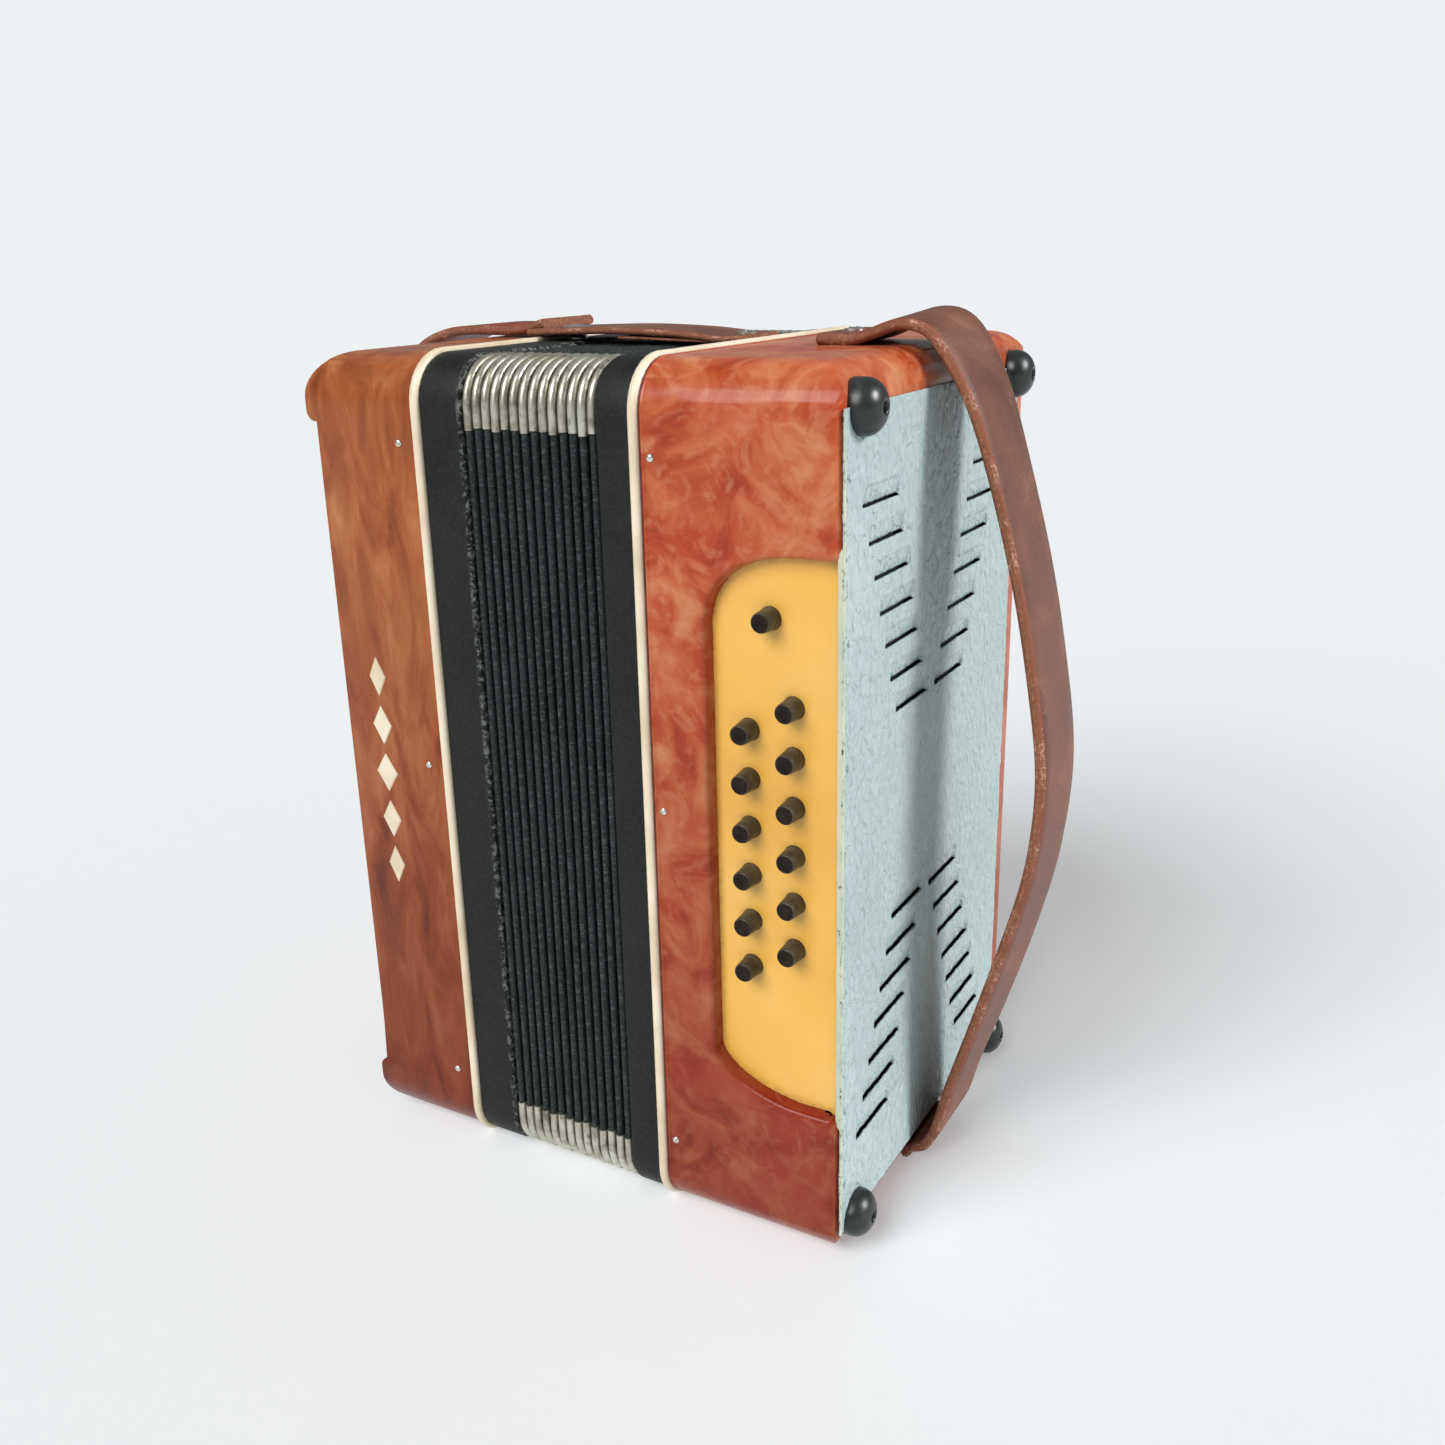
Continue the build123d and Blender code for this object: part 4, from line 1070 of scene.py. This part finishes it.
def grille_edge():
    """The sheet's folded front edge, a narrow strip beside the keyboard, painted pale as a highlight."""
    x_high = GRILLE_FACE - 0.05 * MM
    y_front, y_back = grille_low.y - 0.05 * MM, grille_low.y + 0.7 * MM
    soft = 0.25 * MM
    verts = []
    for step in range(EDGE_STEPS + 1):
        z = grille_low.z + (grille_high.z - grille_low.z) * step / EDGE_STEPS
        wave = 0.06 * MM * math.sin(step * 0.85)
        beside_plate = plate_low.z < z < plate_high.z
        x_low = GRILLE_FACE - (2.0 if beside_plate else 0.7) * MM
        profile = [(x_low, y_back), (x_low, y_front + soft), (x_low + soft, y_front)]
        profile += [(x_high - soft, y_front), (x_high, y_front + soft), (x_high, y_back)]
        verts += [(x, y + wave, z) for x, y in profile]
    faces = grid_faces(EDGE_STEPS + 1, len(profile), loop_points=True)
    faces += end_caps(EDGE_STEPS + 1, len(profile))
    # The edge strip's pale colour is a painted highlight.
    place(make("grille_front_edge", verts, faces, EDGE_HIGHLIGHT, 50), "treble_side", "grille_paint")


def lining():
    """A black sheet inside the grille's window, painted shade for the casing's dark inside, so that the slots look
    into the dark.
    """
    x = GRILLE_FACE - LINING_SINK
    front, back = (FRONT + depth for depth in LINING_DEPTHS)
    low, high = LINING_HEIGHTS
    verts = [(x, front, low), (x, back, low), (x, back, high), (x, front, high)]
    cloth = make("grille_shade_lining", verts, [(0, 1, 2, 3)], LINING)
    place(cloth, "treble_side", "black_frame")


grille()
grille_edge()
lining()


# ---------------------------------------------------------------- buttons, nails, screws, feet
BUTTON_RADIUS = 3.25 * MM
BUTTON_HEAD = 2.8 * MM
BUTTON_LENGTH = 12 * MM


def button(node, axis):
    """A turned button: flat dark top with an eased edge, smoky sides."""
    low, high = map(Vector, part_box(node))
    middle = (low + high) / 2
    out = Vector(axis)
    tip = Vector((low.x if axis[0] else middle.x, low.y if axis[1] else middle.y, middle.z))
    head = BUTTON_HEAD
    sides = [
        (BUTTON_RADIUS, -BUTTON_LENGTH),
        (BUTTON_RADIUS, -6.4 * MM),
        (head + 0.04 * MM, -0.5 * MM),
        (head - 0.1 * MM, -0.22 * MM),
        (head - 0.32 * MM, -0.06 * MM),
    ]
    top = [
        (head - 0.32 * MM, -0.06 * MM),
        (head - 0.6 * MM, 0.0),
        (head - 0.95 * MM, -0.05 * MM),
        (head - 1.6 * MM, -0.22 * MM),
        (0.0, -0.3 * MM),
    ]
    body_piece = lathe(f"{node}_side", sides, tip, out, BUTTON_SIDE, 40)
    top_piece = lathe(f"{node}_top", top, tip, out, BUTTON_TOP, 40)
    piece = join(f"{node}_turned", [body_piece, top_piece])
    tidy_normals(piece, 50)
    place(piece, node, "button_plastic", node)


def dome(name, centre, axis, radius, height, material, foot=0.5 * MM):
    """A low round head on a surface."""
    profile = [(radius, -foot), (radius, 0.1 * height)]
    for step in range(1, 7):
        angle = math.radians(90 * step / 6)
        profile.append((radius * math.cos(angle), height * (0.1 + 0.9 * math.sin(angle))))
    return lathe(name, profile, centre, axis, material, 24)


def slotted_head(name, centre, axis, radius, height, turn):
    """A domed screw head with its slot pressed in."""
    rings = 12
    steps = 48
    verts = []
    for ring_number in range(rings + 1):
        share = ring_number / rings
        for step in range(steps):
            angle = 2 * math.pi * step / steps
            x = radius * share * math.cos(angle)
            y = radius * share * math.sin(angle)
            z = height * math.sqrt(max(0.0, 1 - 0.75 * share * share))
            across = -x * math.sin(turn) + y * math.cos(turn)
            if abs(across) < 0.34 * MM:
                z -= 0.45 * height
            verts.append(Vector((x, y, z)))
    for step in range(steps):
        angle = 2 * math.pi * step / steps
        verts.append(Vector((radius * math.cos(angle), radius * math.sin(angle), -0.4 * MM)))
    faces = grid_faces(rings + 2, steps, loop_points=True)
    rotation = Vector((0, 0, 1)).rotation_difference(Vector(axis)).to_matrix()
    verts = [Vector(centre) + rotation @ v for v in verts]
    piece = make(name, verts, faces, METAL, 45)
    weld(piece)
    tidy_normals(piece, 45)
    return piece


def buttons():
    """Thirteen treble buttons and three bass buttons, each riding on its own body."""
    for number in range(1, 14):
        button(f"treble_button_{number:02d}", (0, -1, 0))
    for number in range(1, 4):
        button(f"bass_button_{number}", (-1, 0, 0))


NAIL_HEIGHTS = (235.0, 135.5, 26.0)
PIN_HEIGHTS = (26.0, 50.4, 89.5, 107.6, 155.8, 190.0, 232.0)
NAIL_RADIUS = 1.15 * MM
NAIL_HEAD = 0.75 * MM
TREBLE_NAILS_X = casing_low.x + 3.4 * MM
BASS_NAILS_X = bass_high.x - 5.8 * MM
PIN_RADIUS = 0.9 * MM
PIN_HEAD = 0.4 * MM
PIN_DEPTH = 5.0 * MM


def nails():
    """Nail heads on both casings' front and back faces, and pins along the grille's front edge."""
    for prefix, x, body, node in (
        ("treble", TREBLE_NAILS_X, "treble_side", "treble_nails"),
        ("bass", BASS_NAILS_X, "bass_side", "bass_fittings"),
    ):
        heads = []
        for height in NAIL_HEIGHTS:
            for y, out in ((FRONT, -1), (BACK, 1)):
                spot = (x, y, height * MM)
                heads.append(dome(f"{prefix}_nail", spot, (0, out, 0), NAIL_RADIUS, NAIL_HEAD, METAL))
        place(join(f"{prefix}_nail_heads", heads), body, "nail_metal", node)
    pins = []
    for height in PIN_HEIGHTS:
        centre = (GRILLE_FACE, FRONT + PIN_DEPTH, height * MM)
        pins.append(dome("grille_pin", centre, (1, 0, 0), PIN_RADIUS, PIN_HEAD, PAINT))
    place(join("grille_pins", pins), "treble_side", "nail_metal")


# Depth and height of each foot, in mm.
FEET = ((11.9, 248.7), (128.6, 247.0), (11.9, 11.6), (128.2, 10.0))
FOOT_RADIUS = 7.3 * MM
FOOT_HEIGHT = 6.3 * MM
FOOT_HOLE = 1.5 * MM
SCREW_SINK = 3 * MM


def feet():
    """Domed rubber feet, each with a screw sunk in its middle; returns the screws."""
    radius = FOOT_RADIUS
    height = FOOT_HEIGHT
    hole = FOOT_HOLE
    floor_of_hole = height - SCREW_SINK
    profile = [(radius - 1.2 * MM, -3.6 * MM), (radius, -2.4 * MM), (radius, 0.6 * MM)]
    for step in range(1, 11):
        angle = math.radians(90 * step / 10)
        r = radius * math.cos(angle) ** 0.9
        if r > hole + 0.5 * MM:
            profile.append((r, 0.6 * MM + (height - 0.6 * MM) * math.sin(angle)))
    profile += [(hole + 0.45 * MM, height - 0.12 * MM), (hole, height - 0.5 * MM)]
    profile += [(hole, floor_of_hole), (0, floor_of_hole)]
    domes = []
    heads = []
    for number, (depth, z) in enumerate(FEET):
        centre = Vector((GRILLE_FACE, FRONT + depth * MM, z * MM))
        domes.append(lathe("rubber_foot", profile, centre, (1, 0, 0), RUBBER, 56, sharp=60))
        seat = centre + Vector((floor_of_hole, 0, 0))
        turn = 0.7 + 1.3 * number
        heads.append(slotted_head("foot_screw", seat, (1, 0, 0), hole - 0.1 * MM, 0.8 * MM, turn))
    place(join("rubber_feet_domes", domes), "treble_side", "foot_rubber", "rubber_feet")
    return heads


buttons()
nails()
foot_screws = feet()


# ---------------------------------------------------------------- straps
def smooth_line(points, steps):
    """Points at even distances along a smooth curve through the given (X, Z) points."""
    pts = [Vector(p) for p in points]
    pts = [pts[0] * 2 - pts[1]] + pts + [pts[-1] * 2 - pts[-2]]
    dense = []
    for k in range(1, len(pts) - 2):
        p0, p1, p2, p3 = pts[k - 1 : k + 3]
        for step in range(24):
            t = step / 24
            square = 2 * p0 - 5 * p1 + 4 * p2 - p3
            cube = 3 * p1 - p0 - 3 * p2 + p3
            dense.append(0.5 * (2 * p1 + (p2 - p0) * t + square * t * t + cube * t**3))
    dense.append(pts[-2])
    lengths = [0.0]
    for a, b in zip(dense, dense[1:]):
        lengths.append(lengths[-1] + (b - a).length)
    result = []
    k = 0
    for step in range(steps + 1):
        goal = lengths[-1] * step / steps
        while k < len(lengths) - 2 and lengths[k + 1] < goal:
            k += 1
        share = (goal - lengths[k]) / max(lengths[k + 1] - lengths[k], 1e-12)
        result.append(dense[k].lerp(dense[k + 1], min(1.0, share)))
    return result


def strap(name, points, width, front, thickness, steps, twist=None):
    """A leather strap along a middle line in X and Z: grained faces, raw edges, eased corners."""
    line = smooth_line(points, steps)
    across_steps = 10
    ease = 0.35 * thickness
    half = width / 2
    verts = []
    for index, spot in enumerate(line):
        before = line[max(index - 1, 0)]
        after = line[min(index + 1, len(line) - 1)]
        along = (after - before).normalized()
        normal = Vector((-along.y, along.x))
        lean = twist(index / steps) if twist else 0.0
        for side in (1, -1):
            for step in range(across_steps + 1):
                v = -half + 2 * half * step / across_steps
                v *= side
                edge = half - abs(v)
                lift = side * thickness / 2
                if edge < 1e-9:
                    lift = side * (thickness / 2 - ease)
                elif step in (1, across_steps - 1):
                    v = math.copysign(half - ease, v)
                    lift = side * thickness / 2
                at = spot + normal * (lift + lean * v)
                verts.append((at.x, front + half + v, at.y))
    count = 2 * (across_steps + 1)
    faces = grid_faces(steps + 1, count, loop_points=True) + end_caps(steps + 1, count)
    around_kinds = [0] * count
    for j in (0, across_steps - 1, across_steps + 1, count - 2):
        around_kinds[j] = 2
    for j in (across_steps, count - 1):
        around_kinds[j] = 1
    kinds = around_kinds * steps + [1, 1]
    piece = make(name, verts, faces, [LEATHER, LEATHER_EDGE, LEATHER_CORNER], 60)
    for polygon, kind in zip(piece.data.polygons, kinds):
        polygon.material_index = kind
    return piece


def around(centre, radius, turns):
    """(X, Z) points on an arc round a centre, turned down from +X by these angles."""
    points = []
    for turn in turns:
        angle = math.radians(turn)
        points.append((centre[0] + radius * math.cos(angle), centre[1] - radius * math.sin(angle)))
    return points


END_RADIUS = 10 * MM
LOWER_CENTRE = (casing_high.x - END_RADIUS, END_RADIUS)
SHOULDER_THICKNESS = 3.2 * MM
# Middle lines of the straps in mm, as (X, height).
SHOULDER_ROUTE = (
    (10.5, 263.4),
    (19.8, 266.7),
    (28.4, 265.2),
    (35.2, 257.0),
    (43.4, 240.0),
    (54.5, 203.0),
    (61.4, 171.0),
    (65.6, 140.0),
    (63.7, 111.0),
    (57.6, 84.0),
    (48.4, 52.0),
    (41.2, 29.0),
    (37.2, 14.0),
    (33.4, 6.6),
)


def shoulder_strap():
    """The arched strap over the grille end, a little twisted where it leaves the casing."""
    top = HEIGHT + 0.1 * MM + SHOULDER_THICKNESS / 2
    flat = [(-5 * MM, top), (0.0, top), (5 * MM, top)]
    route = [(x * MM, z * MM) for x, z in SHOULDER_ROUTE]
    wrap = around(LOWER_CENTRE, END_RADIUS + 0.1 * MM + SHOULDER_THICKNESS / 2, (30.0, 39.0, 48.0))
    low, high = map(Vector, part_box("shoulder_strap"))

    def twist(share):
        lower = min(max(0.0, (share - 0.62) / 0.3), 1.0)
        return 0.09 * math.exp(-(((share - 0.12) / 0.07) ** 2)) + 0.04 * lower * (1 - lower) * 4

    points = flat + route + wrap
    width = high.y - low.y
    piece = strap("shoulder_strap_leather", points, width, low.y, SHOULDER_THICKNESS, 190, twist)
    place(piece, "treble_side", "strap_leather", "shoulder_strap")


BASS_CENTRE = (-bass_low.x - RIB_ROUND, RIB_ROUND)
HAND_THICKNESS = 3.0 * MM
HAND_ROUTE = (
    (131.0, 262.2),
    (141.0, 262.3),
    (152.0, 261.2),
    (163.0, 257.2),
    (172.0, 249.0),
    (179.0, 234.0),
    (182.6, 208.0),
    (183.4, 175.0),
    (181.6, 140.0),
    (176.4, 100.0),
    (167.0, 62.0),
    (156.4, 32.0),
)


def hand_strap():
    """The bass hand strap, laid out facing +X and turned round to the bass end."""
    top = HEIGHT + 0.1 * MM + HAND_THICKNESS / 2
    free_end = ((6, 3.0), (12, 1.4), (18, 0.5))
    flat = [(-bass_high.x + along * MM, top + lift * MM) for along, lift in free_end]
    wrap = around(BASS_CENTRE, RIB_ROUND + 0.1 * MM + HAND_THICKNESS / 2, (20.0, 33.0, 46.0))
    low, high = map(Vector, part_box("bass_hand_strap"))
    points = flat + [(x * MM, z * MM) for x, z in HAND_ROUTE] + wrap
    piece = strap("hand_strap_leather", points, high.y - low.y, low.y, HAND_THICKNESS, 150)
    piece.data.materials[0] = RED_LEATHER
    for vertex in piece.data.vertices:
        vertex.co.x = -vertex.co.x
    tidy_normals(piece, 60)
    place(piece, "bass_side", "strap_leather", "bass_hand_strap")


CLOSING_THICKNESS = 1.9 * MM
LAYER_THICKNESS = 0.8 * MM
LAYER_INSET = 0.75 * MM


def closing_strap():
    """The strap over the bellows: fixed tab, free length with its inner layer, snap and stud."""
    fold_x, _, fold_z = JOINTS["closing_strap_hinge"]["pos_m"]
    low, high = map(Vector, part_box("closing_strap"))
    tab_low, tab_high = map(Vector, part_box("closing_strap_tab"))
    width = high.y - low.y
    base = HEIGHT
    outer = [
        (tab_high.x, base + 1.1 * MM),
        (tab_low.x, base + 1.1 * MM),
        (fold_x - 6 * MM, base + 1.9 * MM),
        (BELLOWS_END - 14 * MM, base + 2.6 * MM),
        (BELLOWS_START + 12 * MM, base + 3.2 * MM),
        (bass_frame_low.x + 2 * MM, base + 2.7 * MM),
        (low.x, base + 2.5 * MM),
    ]
    inner = [
        (tab_low.x - 2 * MM, base + 0.45 * MM),
        (BELLOWS_END - 8 * MM, base + 0.6 * MM),
        (BELLOWS_END - 24 * MM, base + 1.1 * MM),
        (BELLOWS_START + 14 * MM, base + 1.2 * MM),
    ]
    upper = strap("closing_strap_leather", outer, width, low.y, CLOSING_THICKNESS, 110)
    inner_width = width - 2 * LAYER_INSET
    layer_front = low.y + LAYER_INSET
    lower = strap("closing_strap_inner_layer", inner, inner_width, layer_front, LAYER_THICKNESS, 60)
    for piece in (upper, lower):
        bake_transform(piece)
    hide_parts("closing_strap", "closing_strap_tab")
    cap_low, cap_high = map(Vector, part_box("snap_cap"))
    centre = (cap_low + cap_high) / 2
    radius = (cap_high.x - cap_low.x) / 2
    seat = Vector((centre.x, centre.y, base + 3.6 * MM))
    profile = [
        (radius, -0.2 * MM),
        (radius, 0.2 * MM),
        (radius - 0.4 * MM, 0.5 * MM),
        (radius - 1.1 * MM, 0.55 * MM),
        (radius - 1.6 * MM, 0.4 * MM),
        (radius - 2.2 * MM, 0.6 * MM),
        (radius - 3.2 * MM, 0.8 * MM),
        (0.0, 0.9 * MM),
    ]
    cap_piece = lathe("snap_cap_pressed", profile, seat, (0, 0, 1), METAL)
    place(cap_piece, "closing_strap", "nail_metal", "snap_cap")
    stud = [(3.5, 0.0), (3.5, 0.4), (2.4, 0.55), (2.2, 0.9), (1.6, 1.2), (0, 1.2)]
    stud = [(radius * MM, height * MM) for radius, height in stud]
    stud_piece = lathe("snap_stud", stud, (centre.x, centre.y, HEIGHT), (0, 0, 1), METAL)
    place(stud_piece, "bass_side", "nail_metal")


SCREW_RADIUS = 3 * MM
SCREW_HEAD = 1 * MM
LOWER_SCREW_RADIUS = 2.6 * MM
LOWER_SCREW_HEAD = 0.8 * MM
LOWER_SCREW_TURN = 32.0
SCREW_LIFT = 0.15 * MM
TAB_SEAT = 2.05 * MM


def strap_screws():
    """The screws that hold the straps and the closing strap's tab, and those in the feet."""
    shoulder_low, shoulder_high = map(Vector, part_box("shoulder_strap"))
    tab_low, tab_high = map(Vector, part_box("closing_strap_tab"))
    hand_low, hand_high = map(Vector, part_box("bass_hand_strap"))
    middle = (shoulder_low.y + shoulder_high.y) / 2
    heads = list(foot_screws)
    up = (0, 0, 1)
    seat = HEIGHT + SHOULDER_THICKNESS + SCREW_LIFT
    heads.append(slotted_head("strap_screw", (0, middle, seat), up, SCREW_RADIUS, SCREW_HEAD, 0.5))
    tab_x = (tab_low.x + tab_high.x) / 2
    tab_y = (tab_low.y + tab_high.y) / 2
    spot = (tab_x, tab_y, HEIGHT + TAB_SEAT)
    heads.append(slotted_head("tab_screw", spot, up, SCREW_RADIUS, SCREW_HEAD, 1.9))
    slope = math.radians(LOWER_SCREW_TURN)
    out = (math.cos(slope), 0, -math.sin(slope))
    lower = (LOWER_SCREW_RADIUS, LOWER_SCREW_HEAD)
    reach = END_RADIUS + SHOULDER_THICKNESS + SCREW_LIFT
    ((x, z),) = around(LOWER_CENTRE, reach, (LOWER_SCREW_TURN,))
    heads.append(slotted_head("lower_screw", (x, middle, z), out, *lower, 1.2))
    place(join("treble_screw_heads", heads), "treble_side", "nail_metal", "treble_screws")
    hand_middle = (hand_low.y + hand_high.y) / 2
    hand_heads = []
    for number, y in enumerate((hand_middle - 9 * MM, hand_middle + 9 * MM)):
        spot = (bass_high.x - 12 * MM, y, HEIGHT + HAND_THICKNESS + SCREW_LIFT)
        hand_heads.append(slotted_head("hand_screw", spot, up, SCREW_RADIUS, SCREW_HEAD, 0.4 + number))
        reach = RIB_ROUND + HAND_THICKNESS + SCREW_LIFT
        ((x, z),) = around(BASS_CENTRE, reach, (LOWER_SCREW_TURN,))
        outward = (-out[0], 0, out[2])
        hand_heads.append(slotted_head("hand_lower_screw", (-x, y, z), outward, *lower, 2 + number))
    place(join("hand_strap_screw_heads", hand_heads), "bass_side", "nail_metal")


shoulder_strap()
hand_strap()
closing_strap()
strap_screws()


# ---------------------------------------------------------------- ornament
INLAY_LIFT = 0.25 * MM
INLAY_COUNT = 5
INLAY_FIRST = 98 * MM
INLAY_PITCH = 16 * MM


def lozenge(x, z, half_x, half_z):
    """A thin raised diamond on the bass casing's front face."""
    ring = [(x - half_x, z), (x, z + half_z), (x + half_x, z), (x, z - half_z)]
    verts = [(px, FRONT + 0.05 * MM, pz) for px, pz in ring]
    verts += [(x + (px - x) * 0.86, FRONT - INLAY_LIFT, z + (pz - z) * 0.93) for px, pz in ring]
    faces = [(4, 5, 6, 7)] + [(k, (k + 1) % 4, 4 + (k + 1) % 4, 4 + k) for k in range(4)]
    return make("inlay", verts, faces, CREAM, 30)


def ornament():
    """A plain inlay on the bass front: a column of small diamonds."""
    x = (bass_low.x + bass_high.x) / 2 - 3 * MM
    parts = []
    for number in range(INLAY_COUNT):
        half_x = 4.4 - 0.5 * abs(number - INLAY_COUNT // 2)
        parts.append(lozenge(x, INLAY_FIRST + INLAY_PITCH * number, half_x * MM, 6.6 * MM))
    place(join("bass_inlay", parts), "bass_side", "cream_binding")


ornament()

# ---------------------------------------------------------------- camera, light, floor
EYE = (172.43 * MM, -382.16 * MM, 286.01 * MM)
RIGHT = Vector((0.87065, 0.49141, -0.02208))
UP = Vector((-0.13951, 0.28972, 0.94689))
FORWARD = Vector((-0.47171, 0.82133, -0.32079))
SENSOR_WIDTH = 36
LENS = 34.755
BACKGROUND = (0.846, 0.878, 0.896)
AMBIENT = 0.28
KEY = 2.9
KEY_FROM = (0.90, 0.25, 0.55)
KEY_SPREAD = 22
FILL = 2.5
FILL_FROM = (-0.25, -0.9, 0.75)
FILL_SPREAD = 40
PAPER_SHARE = 0.9
FADE_FROM = 0.45
FADE_TO = 1.2
FLOOR_HALF = 40


def camera():
    """The camera, looking down at the keyboard and the grille from the front right."""
    data = bpy.data.cameras.new("camera")
    data.sensor_width = SENSOR_WIDTH
    data.lens = LENS
    data.clip_start = 0.01
    obj = add_object("camera", data)
    turn = Matrix((RIGHT, UP, -FORWARD)).transposed().to_4x4()
    obj.matrix_world = Matrix.Translation(EYE) @ turn
    bpy.context.scene.camera = obj


def sun(name, come_from, strength, spread):
    """A soft distant light of a width in degrees; returns what it gives a white floor."""
    data = bpy.data.lights.new(name, "SUN")
    data.energy = strength
    data.angle = math.radians(spread)
    obj = add_object(name, data)
    obj.rotation_euler = (-Vector(come_from)).to_track_quat("-Z", "Y").to_euler()
    return strength * Vector(come_from).normalized().z / math.pi


def studio():
    """Pale surroundings, a key from the right and a front light; returns the floor's light."""
    scene = bpy.context.scene
    scene.view_settings.view_transform = "Standard"
    world = bpy.data.worlds.new("studio")
    scene.world = world
    world.use_nodes = True
    nodes = world.node_tree.nodes
    nodes["Background"].inputs["Color"].default_value = (*BACKGROUND, 1)
    nodes["Background"].inputs["Strength"].default_value = AMBIENT
    shown = nodes.new("ShaderNodeBackground")
    shown.inputs["Color"].default_value = (*BACKGROUND, 1)
    mix = nodes.new("ShaderNodeMixShader")
    rays = nodes.new("ShaderNodeLightPath")
    links = world.node_tree.links
    links.new(rays.outputs["Is Camera Ray"], mix.inputs["Fac"])
    links.new(nodes["Background"].outputs[0], mix.inputs[1])
    links.new(shown.outputs[0], mix.inputs[2])
    links.new(mix.outputs[0], nodes["World Output"].inputs["Surface"])
    sun("key", KEY_FROM, KEY, KEY_SPREAD)
    return sun("fill", FILL_FROM, FILL, FILL_SPREAD)


def floor(light):
    """Paper whose colour makes it as bright as the surroundings, away from the shadows."""
    s = Shader("floor_paper", Specular_IOR_Level=0.0)
    paper = tuple(PAPER_SHARE * tone for tone in BACKGROUND)
    s.tones(s.noise(60, 3), (0.3, tuple(0.995 * tone for tone in paper)), (0.7, paper))
    missing = [tone - part * (light + AMBIENT * tone) for tone, part in zip(BACKGROUND, paper)]
    s.feed(s.main.inputs["Emission Color"], (*missing, 1))
    s.feed(s.main.inputs["Emission Strength"], 1.0)
    s.rough(1.0)
    distance = s.node("ShaderNodeVectorMath", {0: s.coords}, operation="LENGTH").outputs["Value"]
    fade = s.level(distance, FADE_FROM, FADE_TO)
    glow = s.node("ShaderNodeEmission", {"Color": (*BACKGROUND, 1)})
    mix = s.node("ShaderNodeMixShader", {"Fac": fade})
    s.feed(mix.inputs[1], s.main.outputs[0])
    s.feed(mix.inputs[2], glow.outputs[0])
    output = s.tree.nodes["Material Output"]
    s.feed(output.inputs["Surface"], mix.outputs[0])
    size = FLOOR_HALF
    verts = [(-size, -size, 0), (size, -size, 0), (size, size, 0), (-size, size, 0)]
    paper_floor = make("floor", verts, [(0, 1, 2, 3)], s.material)
    # The key light leaves the floor out, so that the only floor shadow is the front light's.
    left_out = bpy.data.collections.new("not_lit_by_key")
    left_out.objects.link(paper_floor)
    left_out.collection_objects[0].light_linking.link_state = "EXCLUDE"
    bpy.data.objects["key"].light_linking.receiver_collection = left_out


camera()
floor(studio())
